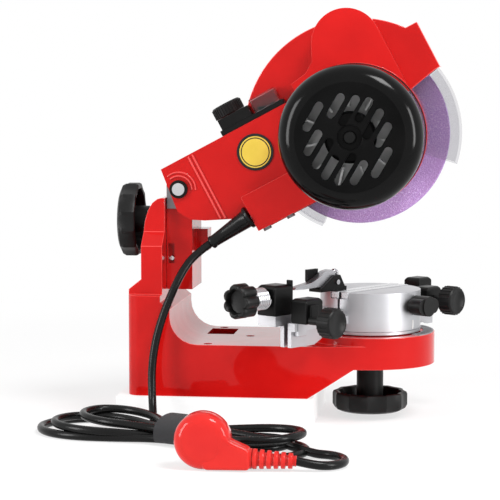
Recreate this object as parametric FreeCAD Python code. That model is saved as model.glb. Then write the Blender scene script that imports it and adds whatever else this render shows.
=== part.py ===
# Bench grinder for saw chains: a base bolted to a bench edge, a turning vise and a swinging disc head.
# Millimetres. X runs from the column at the rear to the vise at the front, Y away from the motor, Z up.
# The origin is midway between the two rear bench bolts, on the underside of the base.
import FreeCAD, Part
import math
import os

V = FreeCAD.Vector

# Base and column
BASE_REAR = -64.0
BASE_HALF = 57.0
DECK_TOP = 41.5
DECK_WALL = 6.0
BENCH_EDGE = 80.0
NOSE_UNDER = 23.0
NOSE_TOP = 48.0
NOSE_R = 52.0
TAPER_X = 92.0
BOLT_SPAN = 98.0
BOLT_R = 3.5
FRONT_BOLT_X = 28.0
COLUMN_REAR = -54.0
COLUMN_FRONT = -37.0
COLUMN_FOOT = -29.5
COLUMN_HALF = 47.0
COLUMN_LEDGE = 80.0
FOOT_TOP = 69.0
COLUMN_SHOULDER = 118.5
CORNER_R = 22.0
EAR_FOOT = 129.0
EAR_HALF = 34.0
EAR_TOP = 156.0
TILT_KNOB_X = -78.0
TILT_KNOB_H = 15.5

# Tilt and swing axes
TILT_Z = 136.5
STUD_R = 6.0
PIVOT_X = -26.0
PIVOT_Z = 163.0
PIN_R = 5.0
REST_ANGLE = 28.0
RUN_GAP = 0.05

# Head, in a frame with its origin on the swing pin and X along the arm
ARM_HALF = 30.0
ARM_TOP = 20.7
WALL = 4.0
AXIS_S = 146.7
AXIS_T = -27.5
GUARD_R = 91.5
GUARD_HALF = 16.0
GUARD_WALL = 3.5
HOUSING_R = 56.0
HOUSING_END = -60.0
CAP_R = 55.0
CAP_END = -116.0
CAP_ROUND = 15.0
NOSE_S = 228.5
LOBE_S = 173.0
LOBE_T = 39.5
LOBE_R = 27.0
BOX_S = 43.5
STOP_S = 58.5
STOP_Y = 22.5
STOP_R = 3.0
STOP_KNOB_R = 12.8
SCREW_R = 1.5
BOX_SCREWS = [(50.0, -38, -59.1), (71.0, -38, -59.1)]
GUARD_SCREW_R = 86.0
GUARD_SCREW_ANGLES = (0.75, 1.7, 2.65)

# Disc and spindle
DISC_R = 72.5
DISC_HALF = 1.6
DISC_BORE_R = 11.1
SHAFT_R = 6.0
BEARING_R = 16.0
BEARING_W = 9.8

# Vise, in a frame with its origin under the vise axis and Y along the chain slot
VISE_X = 126.0
VISE_REST = 35.0
VISE_R = 40.5
VISE_LOW = 48.8
VISE_SPLIT = 51.4
VISE_TOP = 82.0
SLOT_HALF = 1.1
ARM_NEAR = -114.5
ARM_FAR = 87.0
ARM_LOW = 44.8
ARM_LOW_FAR = 47.0
WEB_SLOPE_NEAR = (62.0, 77.0)
WEB_SLOPE_FAR = (60.0, 70.0)
ARM_SET_BACK = 10.0
FIXED_BAR = (61.5, 69.4)
MOVING_BAR = (57.5, 64.0)
WEB_X = 5.5
RAIL_HALF = 39.0
CLAMP_Y = 6.0
CLAMP_Z = 71.0
CLAMP_R = 4.0
LOCK_STUD_R = 6.0
KNOB_R = 30.0
NEAR_KNOB = (36.0, -101, 67)
FAR_KNOB = (32.0, 58, 70)
ADJUSTER = (-12.0, 83.0)
ADJUSTER_Y = -134.5
PAWL_X = -13.0
PAWL_Y = -31.0
PAWL_Z = 89.0
PAWL_SCREW_FOOT = (PAWL_X - 2.6, PAWL_Y - 7.0, 94.0)
PAWL_SCREW_HEAD = (PAWL_X - 2.6, PAWL_Y + 3.0, 95.6)

# Cord, on a floor below the bench board
FLOOR = -22.0
CORD_R = 3.2
CORD_CUT_Z = 30.0
HANK_AT = (-8.0, -137.5)
HANK_TURN = -25.0
HANK_LOW = FLOOR + 0.2
HANK_TOP = FLOOR + 21.0
TIE_HALF = 13.0
PLUG_AT = (22.0, -217.6, FLOOR + 20.6)
PLUG_R = 20.3
PLUG_DEEP = 19.0
PLUG_END = (88.4, -227.1, -14.6)

# Route of the cord in (x, y, z): out of the strain relief, down beside the base and over to the hank.
DROP_ROUTE = [
    (1.0, -40.0, 120.7), (-10.5, -45.5, 112.5), (-19.5, -53.0, 100.0), (-27.0, -60.0, 83.0), (-34.0, -65.0, 64.0),
    (-39.0, -68.0, 45.0), (-41.5, -69.8, 25.5), (-41.3, -71.5, 10.0), (-39.7, -78.0, -3.7), (-37.0, -89.5, -13.8),
    (-33.4, -104.5, -18.4), (-29.5, -122.0, -18.2),
]
TAIL_ROUTE = [
    (96.5, -181.5, -18.4), (108.0, -183.6, -18.4), (117.0, -191.3, -18.4), (121.1, -202.6, -18.4),
    (119.0, -214.4, -18.4), (111.3, -223.6, -18.2), (100.0, -227.7, -17.0), (88.4, -227.1, -14.6),
]


def box(x0, x1, y0, y1, z0, z1):
    return Part.makeBox(x1 - x0, y1 - y0, z1 - z0, V(x0, y0, z0))


def rod(radius, start, end):
    a, b = V(*start), V(*end)
    return Part.makeCylinder(radius, (b - a).Length, a, b - a)


def cone(r0, r1, start, end):
    a, b = V(*start), V(*end)
    return Part.makeCone(r0, r1, (b - a).Length, a, b - a)


def prism(points, y0, y1):
    """A side outline of (x, z) points, from y0 to y1."""
    wire = Part.makePolygon([V(x, y0, z) for x, z in points + points[:1]])
    return Part.Face(wire).extrude(V(0, y1 - y0, 0))


def slab(points, z0, z1):
    """A plan outline of (x, y) points, from z0 to z1."""
    wire = Part.makePolygon([V(x, y, z0) for x, y in points + points[:1]])
    return Part.Face(wire).extrude(V(0, 0, z1 - z0))


def turned(points, start, direction):
    """A body of revolution from (radius, distance) points about the line from start."""
    wire = Part.makePolygon([V(r, 0, d) for r, d in points + points[:1]])
    body = Part.Face(wire).revolve(V(0, 0, 0), V(0, 0, 1), 360)
    turn = FreeCAD.Rotation(V(0, 0, 1), V(*direction))
    body.Placement = FreeCAD.Placement(V(*start), turn)
    return body


def fused(shapes):
    whole = shapes[0]
    for shape in shapes[1:]:
        whole = whole.fuse(shape)
    return whole.removeSplitter()


def group(shapes):
    return Part.makeCompound(shapes)


def moved(shape, dx, dy, dz):
    shape = shape.copy()
    shape.translate(V(dx, dy, dz))
    return shape


def on_head(shape):
    """From the arm's frame to the rest pose."""
    shape = shape.copy()
    shape.rotate(V(0, 0, 0), V(0, 1, 0), -REST_ANGLE)
    shape.translate(V(PIVOT_X, 0, PIVOT_Z))
    return shape


def on_vise(shape):
    """From the vise's frame to the rest pose."""
    shape = shape.copy()
    shape.rotate(V(0, 0, 0), V(0, 0, 1), -VISE_REST)
    shape.translate(V(VISE_X, 0, 0))
    return shape


def axis_rod(radius, y0, y1):
    """A cylinder on the spindle axis, in the arm's frame."""
    return rod(radius, (AXIS_S, y0, AXIS_T), (AXIS_S, y1, AXIS_T))


def sector(radius, y0, y1, from_deg, to_deg):
    """A wedge about the spindle axis, between two angles from the arm's direction."""
    steps = max(2, int(abs(to_deg - from_deg) / 40) + 1)
    reach = radius * 1.4
    points = [(AXIS_S, AXIS_T)]
    for i in range(steps + 1):
        angle = math.radians(from_deg + (to_deg - from_deg) * i / steps)
        points.append((AXIS_S + reach * math.cos(angle), AXIS_T + reach * math.sin(angle)))
    return prism(points, y0, y1)


def screws(places, direction, head_r, head_h, shank_r, shank_h):
    """Pan head screws at their seats, shanks along direction."""
    made = []
    for place in places:
        seat, way = V(*place), V(*direction)
        head = Part.makeCylinder(head_r, head_h, seat - way * head_h, way)
        shank = Part.makeCylinder(shank_r, shank_h, seat, way)
        made.append(head.fuse(shank).removeSplitter())
    return group(made)


def cup_knob(radius, height, facets, wall):
    """A faceted cup with its closed end at z 0 and its open end at height."""
    points = []
    for i in range(facets):
        angle = 2 * math.pi * i / facets
        points.append((radius * math.cos(angle), radius * math.sin(angle)))
    body = slab(points, 0, height)
    body = body.common(Part.makeCone(radius * 0.9, radius * 1.02, height * 0.35).fuse(
        Part.makeCylinder(radius * 1.02, height * 0.65, V(0, 0, height * 0.35))))
    return body.cut(Part.makeCylinder(radius - wall, height, V(0, 0, wall + 1)))


def lobed_knob(radius, height, lobes, depth):
    """A solid knob with scallops round its edge, from z 0 to height."""
    body = Part.makeCylinder(radius, height)
    bite_r = radius * math.pi / lobes * 0.62
    for i in range(lobes):
        angle = 2 * math.pi * i / lobes
        reach = radius + bite_r - depth
        body = body.cut(Part.makeCylinder(bite_r, height, V(reach * math.cos(angle), reach * math.sin(angle), 0)))
    return body


def aimed(shape, start, direction):
    """A shape built along Z, moved to start and turned along direction."""
    shape = shape.copy()
    shape.Placement = FreeCAD.Placement(V(*start), FreeCAD.Rotation(V(0, 0, 1), V(*direction)))
    return shape


def export(name, shape):
    """One node's solids, checked and written."""
    solids = shape.Solids
    good = len(solids) > 0 and all(s.isValid() and s.isClosed() for s in solids)
    shape = solids[0] if len(solids) == 1 else Part.makeCompound(solids)
    shape.exportStep("parts/" + name + ".step")
    print(name, len(solids), "solids", round(shape.Volume / 1000, 2), "cm3", "" if good else "CHECK")


def base_casting():
    side = [(BASE_REAR, 0), (BENCH_EDGE, 0), (116, NOSE_UNDER), (VISE_X, NOSE_UNDER), (VISE_X, DECK_TOP)]
    for step in range(7):
        angle = math.radians(270 - 15 * step)
        across, up = CORNER_R * math.cos(angle), CORNER_R * math.sin(angle)
        side.append((COLUMN_FOOT + CORNER_R + across, DECK_TOP + CORNER_R + up))
    side += [(COLUMN_FOOT, FOOT_TOP), (COLUMN_FRONT, FOOT_TOP + 6), (COLUMN_FRONT, 90)]
    side += [(COLUMN_REAR, 92), (BASE_REAR, 84)]
    body = prism(side, -BASE_HALF, BASE_HALF)
    plan = [(BASE_REAR, -BASE_HALF), (TAPER_X, -BASE_HALF), (VISE_X, -NOSE_R)]
    plan += [(x, -y) for x, y in reversed(plan)]
    body = body.common(slab(plan, 0, 99))
    rear = [e for e in body.Edges if e.BoundBox.XMax < BASE_REAR + 0.1 and e.BoundBox.ZLength > 50]
    body = body.makeFillet(10.0, rear)
    body = body.fuse(rod(NOSE_R, (VISE_X, 0, NOSE_UNDER), (VISE_X, 0, NOSE_TOP)))
    inner = [(BASE_REAR + 8, -1), (BENCH_EDGE - 2, -1), (96, NOSE_UNDER), (96, DECK_TOP - DECK_WALL)]
    inner += [(-16, DECK_TOP - DECK_WALL), (-33, 48), (-37.5, 64), (-45, 75.5), (BASE_REAR + 8, 73.5)]
    hollow = prism(inner, -BASE_HALF + WALL, BASE_HALF - WALL)
    body = body.cut(hollow)
    for y0, y1 in ((-BASE_HALF - 1, -COLUMN_HALF), (COLUMN_HALF, BASE_HALF + 1)):
        body = body.cut(box(BASE_REAR - 1, COLUMN_FOOT, y0, y1, COLUMN_LEDGE, 99))
    half, ear = COLUMN_HALF, EAR_HALF
    column = [(-half, 78), (half, 78), (half, COLUMN_SHOULDER), (ear, EAR_FOOT), (-ear, EAR_FOOT)]
    column.append((-half, COLUMN_SHOULDER))
    wire = Part.makePolygon([V(COLUMN_REAR, y, z) for y, z in column + column[:1]])
    upright = Part.Face(wire).extrude(V(COLUMN_FRONT - COLUMN_REAR, 0, 0))
    rounded = [(0, EAR_FOOT - 12), (0, EAR_FOOT), (1.2, 138), (3.6, 146), (7, 152), (11, 155.2), (14, EAR_TOP)]
    outline = [(COLUMN_REAR + x, z) for x, z in rounded] + [(COLUMN_FRONT, EAR_TOP), (COLUMN_FRONT, EAR_FOOT - 12)]
    upright = upright.fuse(prism(outline, -EAR_HALF, EAR_HALF))
    body = body.fuse(upright)
    for y in (-BOLT_SPAN / 2, BOLT_SPAN / 2):
        body = body.fuse(rod(6.0, (0, y, 0), (0, y, DECK_TOP)).common(box(-20, 20, -BASE_HALF, BASE_HALF, 0, 99)))
    body = body.fuse(rod(8.0, (FRONT_BOLT_X, 0, 0), (FRONT_BOLT_X, 0, DECK_TOP)))
    for x, y in ((0, -BOLT_SPAN / 2), (0, BOLT_SPAN / 2), (FRONT_BOLT_X, 0)):
        body = body.cut(rod(BOLT_R, (x, y, -1), (x, y, DECK_TOP + 1)))
    body = body.cut(box(-9, 13, 8, 42, DECK_TOP - DECK_WALL - 1, DECK_TOP + 1))
    body = body.cut(rod(STUD_R + RUN_GAP, (COLUMN_REAR - 1, 0, TILT_Z), (COLUMN_FRONT + 1, 0, TILT_Z)))
    body = body.cut(rod(LOCK_STUD_R + RUN_GAP, (VISE_X, 0, NOSE_UNDER - 1), (VISE_X, 0, NOSE_TOP + 1)))
    return body.removeSplitter()


def vise_scale_plate():
    ring = rod(NOSE_R - 1, (VISE_X, 0, NOSE_TOP), (VISE_X, 0, NOSE_TOP + 0.8))
    ring = ring.cut(rod(VISE_R + 2.5, (VISE_X, 0, NOSE_TOP - 1), (VISE_X, 0, NOSE_TOP + 2)))
    return ring.common(slab([(VISE_X, 0), (VISE_X + 70, -52), (VISE_X + 70, 52)], NOSE_TOP - 1, NOSE_TOP + 2))


def tilt_bracket():
    front, face, half = COLUMN_FRONT + 0.3, -16.0, 25.0
    flange = rod(24.0, (front, 0, TILT_Z), (front + 9, 0, TILT_Z))
    block = box(front, face, -half, half, 82.0, PIVOT_Z - 4)
    boss = rod(12.0, (PIVOT_X, -25.5, PIVOT_Z), (PIVOT_X, 25.5, PIVOT_Z)).cut(box(-99, front, -99, 99, 0, 300))
    lug = box(face, face + 9, 0, 20, 111, 129)
    finger = box(PIVOT_X, 42.0, 19.7, 25.4, 149.0, 155.0)
    body = fused([flange, block, boss, lug, finger])
    body = body.cut(rod(PIN_R, (PIVOT_X, -40, PIVOT_Z), (PIVOT_X, 40, PIVOT_Z)))
    body = body.cut(rod(9.8, (PIVOT_X, -40, PIVOT_Z), (PIVOT_X, -9, PIVOT_Z)))
    body = body.cut(rod(STUD_R, (front - 1, 0, TILT_Z), (-28, 0, TILT_Z)))
    return body.cut(box(-35.5, -30.5, -half - 1, -half + 4, 103.0, 119.0))


def tilt_knob():
    knob = cup_knob(KNOB_R, TILT_KNOB_H, 12, 4.5)
    knob = knob.fuse(Part.makeCylinder(11.0, COLUMN_REAR - 0.3 - TILT_KNOB_X))
    knob = knob.cut(Part.makeCylinder(STUD_R + RUN_GAP, 20.0, V(0, 0, 5.5)))
    return aimed(knob.removeSplitter(), (TILT_KNOB_X, 0, TILT_Z), (1, 0, 0))


def arm_outline(inset=0.0):
    i = inset
    return [
        (-5.5 - i * 6, ARM_TOP - i), (108, ARM_TOP - i), (150, -10), (150, -40), (112, -60 + i), (48, -60 + i),
        (44, -46 + i), (26, -40.5 + i), (7, -32 + i), (-3, -26 + i), (-9.5 - i * 6, -15.5 + i * 0.2),
    ]


def arm_housing():
    body = prism(arm_outline(), -ARM_HALF, ARM_HALF)
    body = body.cut(prism(arm_outline(WALL), -ARM_HALF + WALL, ARM_HALF - WALL))
    body = body.cut(box(-60, 6, -ARM_HALF + WALL, ARM_HALF - WALL, -70, ARM_TOP - WALL))
    body = body.cut(axis_rod(GUARD_R + 0.1, -GUARD_HALF - 0.1, ARM_HALF + 1))
    body = body.cut(axis_rod(HOUSING_R + 0.1, -ARM_HALF - 1, -GUARD_HALF + 1))
    body = body.cut(capacitor_lobe(-ARM_HALF - 1, -GUARD_HALF + 1, 0.1))
    body = body.cut(rod(PIN_R + RUN_GAP, (0, -40, 0), (0, 40, 0)))
    return body.cut(rod(STOP_R + 0.3, (STOP_S, STOP_Y, 0), (STOP_S, STOP_Y, 40)))


def capacitor_lobe(y0, y1, grow=0.0):
    """The round-topped hump on the motor housing."""
    g, front = grow, LOBE_S + LOBE_R + grow
    foot = [(120 - g, 26), (120 - g, 31 + g), (134 - g, 33 + g), (143 - g, 39 + g), (147.5 - g, 49 + g)]
    side = foot + [(LOBE_S, 49 + g), (LOBE_S, LOBE_T), (front, LOBE_T), (front, -30), (132, -30)]
    hump = rod(LOBE_R + g, (LOBE_S, y0, LOBE_T), (LOBE_S, y1, LOBE_T))
    return fused([prism(side, y0, y1), hump])


def motor_housing():
    body = axis_rod(HOUSING_R, HOUSING_END, -GUARD_HALF - 0.1)
    body = body.fuse(capacitor_lobe(HOUSING_END + 16, -GUARD_HALF - 0.1))
    body = body.cut(axis_rod(HOUSING_R - WALL, HOUSING_END - 1, -28.0))
    lobe = rod(20.0, (174, HOUSING_END, 38), (174, -22, 38))
    body = body.cut(lobe.common(box(100, 260, HOUSING_END + 20, -20, -100, 200)))
    body = body.cut(axis_rod(BEARING_R, -28.5, -18.5))
    return body.cut(axis_rod(SHAFT_R + 2, -30, 0)).removeSplitter()


def guard_plan(y0, y1):
    """The guard's side outline: most of a round and a nose with a flat front face."""
    plan = axis_rod(GUARD_R, y0, y1).cut(sector(GUARD_R, y0 - 1, y1 + 1, -176, 12))
    plan = plan.fuse(box(AXIS_S, NOSE_S, y0, y1, -11.0, 29.0))
    return plan.cut(box(NOSE_S, NOSE_S + 50, y0 - 1, y1 + 1, -90, 90))


def guard_shell():
    """The guard's near side wall and rim."""
    inner, top = -GUARD_HALF + GUARD_WALL, 29.0 - GUARD_WALL
    hollow = axis_rod(GUARD_R - GUARD_WALL, inner, GUARD_HALF + 1)
    hollow = hollow.fuse(box(AXIS_S, NOSE_S + 20, inner, GUARD_HALF + 1, -41, top))
    hollow = hollow.cut(box(NOSE_S - GUARD_WALL, NOSE_S + 50, -90, 90, -90, 90))
    body = guard_plan(-GUARD_HALF, GUARD_HALF).cut(hollow)
    return body.cut(axis_rod(SHAFT_R + 3, -50, 50)).removeSplitter()


def guard_screw_seats():
    y, r = GUARD_HALF + 3.1, GUARD_SCREW_R
    return [(AXIS_S + r * math.cos(a), y, AXIS_T + r * math.sin(a)) for a in GUARD_SCREW_ANGLES]


def guard_cover():
    """The plate that closes the guard's far side."""
    plate = guard_plan(GUARD_HALF + 0.1, GUARD_HALF + 3.1)
    for s, y, t in guard_screw_seats():
        plate = plate.cut(rod(SCREW_R, (s, 0, t), (s, 40, t)))
    return plate.removeSplitter()


def clear_guard(r_out, from_deg, to_deg, half):
    """A clear channel round the disc, open towards it."""
    ring = axis_rod(r_out, -half, half).cut(axis_rod(r_out - 2.0, -half + 2, half - 2))
    ring = ring.cut(axis_rod(r_out - 26, -60, 60))
    return ring.common(sector(r_out, -60, 60, from_deg, to_deg))


def motor_cap():
    rise = abs(CAP_END - HOUSING_END)
    outer = [(0, 0), (CAP_R, 0), (CAP_R, rise - CAP_ROUND)]
    inner = [(0, -1), (CAP_R - 3, -1), (CAP_R - 3, rise - CAP_ROUND)]
    for step in range(1, 7):
        angle = math.radians(15 * step)
        across, along = math.cos(angle), math.sin(angle)
        outer.append((CAP_R - CAP_ROUND + CAP_ROUND * across, rise - CAP_ROUND + CAP_ROUND * along))
        inner.append((CAP_R - CAP_ROUND + (CAP_ROUND - 3) * across, rise - CAP_ROUND + (CAP_ROUND - 3) * along))
    outer.append((0, rise))
    inner.append((0, rise - 3))
    place = (AXIS_S, HOUSING_END, AXIS_T)
    body = turned(outer, place, (0, -1, 0)).cut(turned(inner, place, (0, -1, 0)))
    seat = axis_rod(BEARING_R + 4, CAP_END + 2, CAP_END + 18).cut(axis_rod(BEARING_R, CAP_END + 6, CAP_END + 20))
    body = body.fuse(seat)
    spread = {-3: [0], -2: [-18, 18], -1: [-20, 20], 0: [-26, 26], 1: [-20, 20], 2: [-18, 18], 3: [0]}
    lean = math.radians(60 - REST_ANGLE)
    across = V(math.sin(lean), 0, -math.cos(lean))
    along = V(math.cos(lean), 0, math.sin(lean))
    for column, rows in spread.items():
        length = 24.0 if abs(column) < 3 else 20.0
        for row in rows:
            middle = V(AXIS_S, CAP_END - 2, AXIS_T) + across * (column * 10.3) + along * row
            body = body.cut(louvre(middle, along, 20.0 if column == 0 else length, 6.6, 7.0))
    return body.cut(axis_rod(2.6, CAP_END - 1, CAP_END + 10))


def louvre(middle, along, length, width, depth):
    """A slot with round ends through a wall that faces -Y."""
    a, b = middle - along * (length - width) / 2, middle + along * (length - width) / 2
    side = along.cross(V(0, 1, 0)) * (width / 2)
    face = Part.Face(Part.makePolygon([a + side, b + side, b - side, a - side, a + side]))
    slot = face.extrude(V(0, depth, 0))
    for end in (a, b):
        slot = slot.fuse(Part.makeCylinder(width / 2, depth, end, V(0, 1, 0)))
    return slot


def fan():
    hub = axis_rod(14, -96, -84).fuse(axis_rod(46, -96, -94))
    for i in range(11):
        blade = box(AXIS_S + 23, AXIS_S + 45, -107, -95, AXIS_T - 0.8, AXIS_T + 0.8)
        blade.rotate(V(AXIS_S, 0, AXIS_T), V(0, 1, 0), i * 360 / 11)
        hub = hub.fuse(blade)
    return hub.cut(axis_rod(SHAFT_R, -120, 0)).removeSplitter()


def ring(r_out, r_in, y0, y1):
    return axis_rod(r_out, y0, y1).cut(axis_rod(r_in, y0 - 1, y1 + 1))


def coil_spring(radius, wire_r, turns, y0, y1):
    """A torsion spring on the swing pin, as separate closed turns."""
    made = []
    for i in range(turns):
        y = y0 + (y1 - y0) * (i + 0.5) / turns
        made.append(Part.makeTorus(radius, wire_r, V(PIVOT_X, y, PIVOT_Z), V(0, 1, 0)))
    return group(made)


def vise_half(z0, z1, side):
    """Half of the vise's round body, on one side of the slot."""
    whole = rod(VISE_R, (0, 0, z0), (0, 0, z1))
    keep = box(SLOT_HALF, 99, -99, 99, z0 - 1, z1 + 1) if side > 0 else box(-99, -SLOT_HALF, -99, 99, z0 - 1, z1 + 1)
    return whole.common(keep)


def arm_webs(x0, x1, top, far):
    """The upright plates of a vise arm, near and far, cut away over the nose of the base."""
    start, clear = VISE_R + 1.5, VISE_SPLIT
    made = []
    near = (-1, -ARM_NEAR - ARM_SET_BACK, ARM_LOW, WEB_SLOPE_NEAR)
    for side, end, low, (inner, outer) in (near, (1, far, ARM_LOW_FAR, WEB_SLOPE_FAR)):
        outline = [(start, clear), (inner, clear), (outer, low), (end, low), (end, top), (start, top)]
        made.append(along_slot([(side * y, z) for y, z in outline], x0, x1))
    return made[0].fuse(made[1])


def vise_table():
    low, high = FIXED_BAR
    edge = -SLOT_HALF - 0.8
    body = rod(VISE_R, (0, 0, VISE_LOW), (0, 0, VISE_SPLIT - 0.3)).fuse(vise_half(VISE_SPLIT - 1, VISE_TOP, -1))
    body = body.fuse(box(-20, edge, ARM_NEAR, ARM_FAR, low, high))
    body = body.fuse(arm_webs(-WEB_X, edge, low + 1, ARM_FAR))
    body = body.cut(box(-9, 0, -99, 99, VISE_TOP - 5, VISE_TOP + 1))
    body = body.cut(rod(CLAMP_R, (-30, CLAMP_Y, CLAMP_Z), (1, CLAMP_Y, CLAMP_Z)))
    return body.cut(rod(LOCK_STUD_R, (0, 0, VISE_LOW - 1), (0, 0, VISE_LOW + 8))).removeSplitter()


def moving_jaw():
    low, high = MOVING_BAR
    edge = SLOT_HALF + 0.8
    body = vise_half(VISE_SPLIT, VISE_TOP, 1)
    body = body.fuse(box(edge, 9, ARM_NEAR + ARM_SET_BACK, ARM_FAR - ARM_SET_BACK, low, high))
    body = body.fuse(arm_webs(edge, WEB_X, low + 1, ARM_FAR - ARM_SET_BACK))
    body = body.cut(box(0, 9, -99, 99, VISE_TOP - 5, VISE_TOP + 1))
    body = body.cut(rod(LOCK_STUD_R + 3, (0, 0, VISE_SPLIT - 1), (0, 0, VISE_LOW + 9)))
    return body.cut(rod(CLAMP_R + 0.4, (-1, CLAMP_Y, CLAMP_Z), (60, CLAMP_Y, CLAMP_Z))).removeSplitter()


def rail(side):
    """A hardened chain rail let into the top of one jaw."""
    x0, x1 = (SLOT_HALF, 8.8) if side > 0 else (-8.8, -SLOT_HALF)
    return box(x0, x1, -RAIL_HALF, RAIL_HALF, VISE_TOP - 5, VISE_TOP + 0.6)


def guide_block(x0, x1, y0, y1, z0, z1):
    """A moulded guide block that stands on a vise arm, with chamfered upper edges."""
    body = box(x0, x1, y0, y1, z0, z1)
    upper = [edge for edge in body.Edges if edge.BoundBox.ZMin > z1 - 0.01]
    return body.makeChamfer(2.0, upper)


def clamp_lever():
    inner, outer, y, z = VISE_R + 3, VISE_R + 14, CLAMP_Y, CLAMP_Z
    body = rod(8.0, (VISE_R + 1.0, y, z), (VISE_R + 15, y, z))
    body = body.fuse(box(inner, outer, y - 7, y + 7, z - 6, z + 6))
    for end in (-7, 7):
        body = body.fuse(rod(6.0, (inner, y + end, z), (outer, y + end, z)))
    return body.removeSplitter().cut(rod(CLAMP_R + RUN_GAP, (0, y, z), (VISE_R + 12.5, y, z)))


def along_slot(points, x0, x1):
    """A side outline of (y, z) points beside the slot, from x0 to x1."""
    shape = prism(points, 0, x1 - x0)
    shape.rotate(V(0, 0, 0), V(0, 0, 1), 90)
    return moved(shape, x1, 0, 0)


def pawl_bracket():
    """Two ears on a foot; the outer one carries an upright stop."""
    foot = box(PAWL_X - 9, PAWL_X + 3.6, PAWL_Y - 20, PAWL_Y + 12, VISE_TOP + 0.1, VISE_TOP + 3)
    low = VISE_TOP + 2.8
    inner = [(-20, low), (10, low), (4, 94.5), (-3, 94.5)]
    outer = [(-20, low), (10, low), (4, 94.5), (-12, 94.5), (-12, 100), (-25, 100), (-25, 91)]
    for x0, side in ((PAWL_X - 9, outer), (PAWL_X + 1, inner)):
        foot = foot.fuse(along_slot([(PAWL_Y + y, z) for y, z in side], x0, x0 + 2.6))
    return foot.cut(rod(2.0, (-60, PAWL_Y, PAWL_Z), (20, PAWL_Y, PAWL_Z))).removeSplitter()


def pawl():
    """The chain stop: a raised head over the pivot and a long nose that reaches down to the slot."""
    side = [(4.5, 86.5), (4.5, 91), (1.2, 94), (1.0, 97), (-4, 99), (-11, 98), (-19, 93.5), (-27, 90.5)]
    side += [(-47, 88), (-49, 86.2), (-38, 85.8), (-18, 86.2), (-6, 85.8)]
    outline = [(PAWL_Y + y, z) for y, z in side]
    body = along_slot(outline, PAWL_X - 5.8, PAWL_X + 0.6)
    body = body.cut(rod(2.0, PAWL_SCREW_FOOT, PAWL_SCREW_HEAD))
    return body.cut(rod(2.0 + RUN_GAP, (-60, PAWL_Y, PAWL_Z), (20, PAWL_Y, PAWL_Z)))


def tube(route, radius):
    """A round cord along straight runs joined by tangent arcs."""
    points = [V(*p) for p in route]
    edges, radii, at = [], [], points[0]
    for a, b, c in zip(points, points[1:], points[2:]):
        back, on = (a - b).normalize(), (c - b).normalize()
        turn = math.pi - back.getAngle(on)
        cut = 0.45 * min((a - b).Length, (c - b).Length)
        radii.append(cut / math.tan(turn / 2))
        start, end = b + back * cut, b + on * cut
        middle = (back + on).normalize()
        centre = b + middle * (radii[-1] / math.cos(turn / 2))
        edges.append(Part.LineSegment(at, start).toShape())
        edges.append(Part.Arc(start, centre - middle * radii[-1], end).toShape())
        at = end
    edges.append(Part.LineSegment(at, points[-1]).toShape())
    path = Part.Wire(edges)
    section = Part.Wire(Part.Circle(points[0], points[1] - points[0], radius).toShape())
    solid = path.makePipeShell([section], True, False)
    print("cord radii", [round(r) for r in radii], "length", round(path.Length, 1))
    print("cord volume", round(solid.Volume), "expected", round(math.pi * radius ** 2 * path.Length))
    return solid


def on_hank(shape):
    shape = shape.copy()
    shape.rotate(V(0, 0, 0), V(0, 0, 1), HANK_TURN)
    shape.translate(V(HANK_AT[0], HANK_AT[1], 0))
    return shape


def hank_waist():
    return box(-TIE_HALF - 1, TIE_HALF + 1, -15, 15, HANK_LOW + 2, HANK_TOP - 1.5)


def hank():
    """The tied bundle as one closed body: two flat lobes and a waist under the tie."""
    left = [(-TIE_HALF - 0.2, -17), (-TIE_HALF - 0.2, 17), (-40, 34), (-75, 48), (-108, 44), (-128, 26), (-134, 0)]
    left += [(-126, -26), (-104, -40), (-72, -40), (-40, -30)]
    right = [(TIE_HALF + 0.2, 17), (TIE_HALF + 0.2, -17), (40, -32), (74, -40), (100, -34), (113, -14), (114, 8)]
    right += [(104, 28), (78, 38), (44, 32)]
    lobes = [slab(left, HANK_LOW, HANK_TOP), slab(right, HANK_LOW, HANK_TOP)]
    return on_hank(fused(lobes + [hank_waist()]))


def tie():
    """The strap round the middle of the hank."""
    outline = [(-19, FLOOR + 3), (-15, HANK_LOW), (15, HANK_LOW), (19, FLOOR + 3)]
    outline += [(19, HANK_TOP - 2), (14, HANK_TOP + 1.5), (-14, HANK_TOP + 1.5), (-19, HANK_TOP - 2)]
    wire = Part.makePolygon([V(-TIE_HALF, y, z) for y, z in outline + outline[:1]])
    return on_hank(Part.Face(wire).extrude(V(2 * TIE_HALF, 0, 0)).cut(hank_waist()))


def plug_body():
    """An angled mains plug lying on its rim: a round face, a flat grip and a cord sleeve."""
    x, y, z = PLUG_AT
    face = turned([(0, 0), (19, 0), (PLUG_R, 3), (PLUG_R, 13), (16, PLUG_DEEP), (0, PLUG_DEEP)], PLUG_AT, (0, -1, 0))
    side = [(9, 13), (20, 1.5), (34, -4.5), (34, -19.5), (2, -20), (-4, -10)]
    grip = prism([(x + a, z + b) for a, b in side], y - PLUG_DEEP + 0.5, y - 4)
    sleeve = cone(7.4, 4.9, (x + 33, PLUG_END[1], PLUG_END[2] + 1.0), PLUG_END)
    return fused([face, grip, sleeve])


def plug_pins():
    x, y, z = PLUG_AT
    return group([rod(2.4, (x + k, y, z), (x + k, y + 19.0, z)) for k in (-9.5, 9.5)])


def strain_relief():
    axis = [(BOX_S - 1.0, -40, -45.7), (BOX_S - 4.3, -40, -46.0), (4.0, -40, -50.1)]
    flange = rod(9.2, axis[0], axis[1])
    sleeve = cone(7.4, 4.5, axis[1], axis[2])
    return fused([flange, sleeve])


def side_knob(place):
    """A ribbed side knob with its screw, in the vise's frame."""
    x, y, z = place
    knob = aimed(lobed_knob(11.7, 13.0, 14, 1.0), place, (1, 0, 0))
    return knob.fuse(rod(3.0, (21.3, y, z), place)).removeSplitter()


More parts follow.
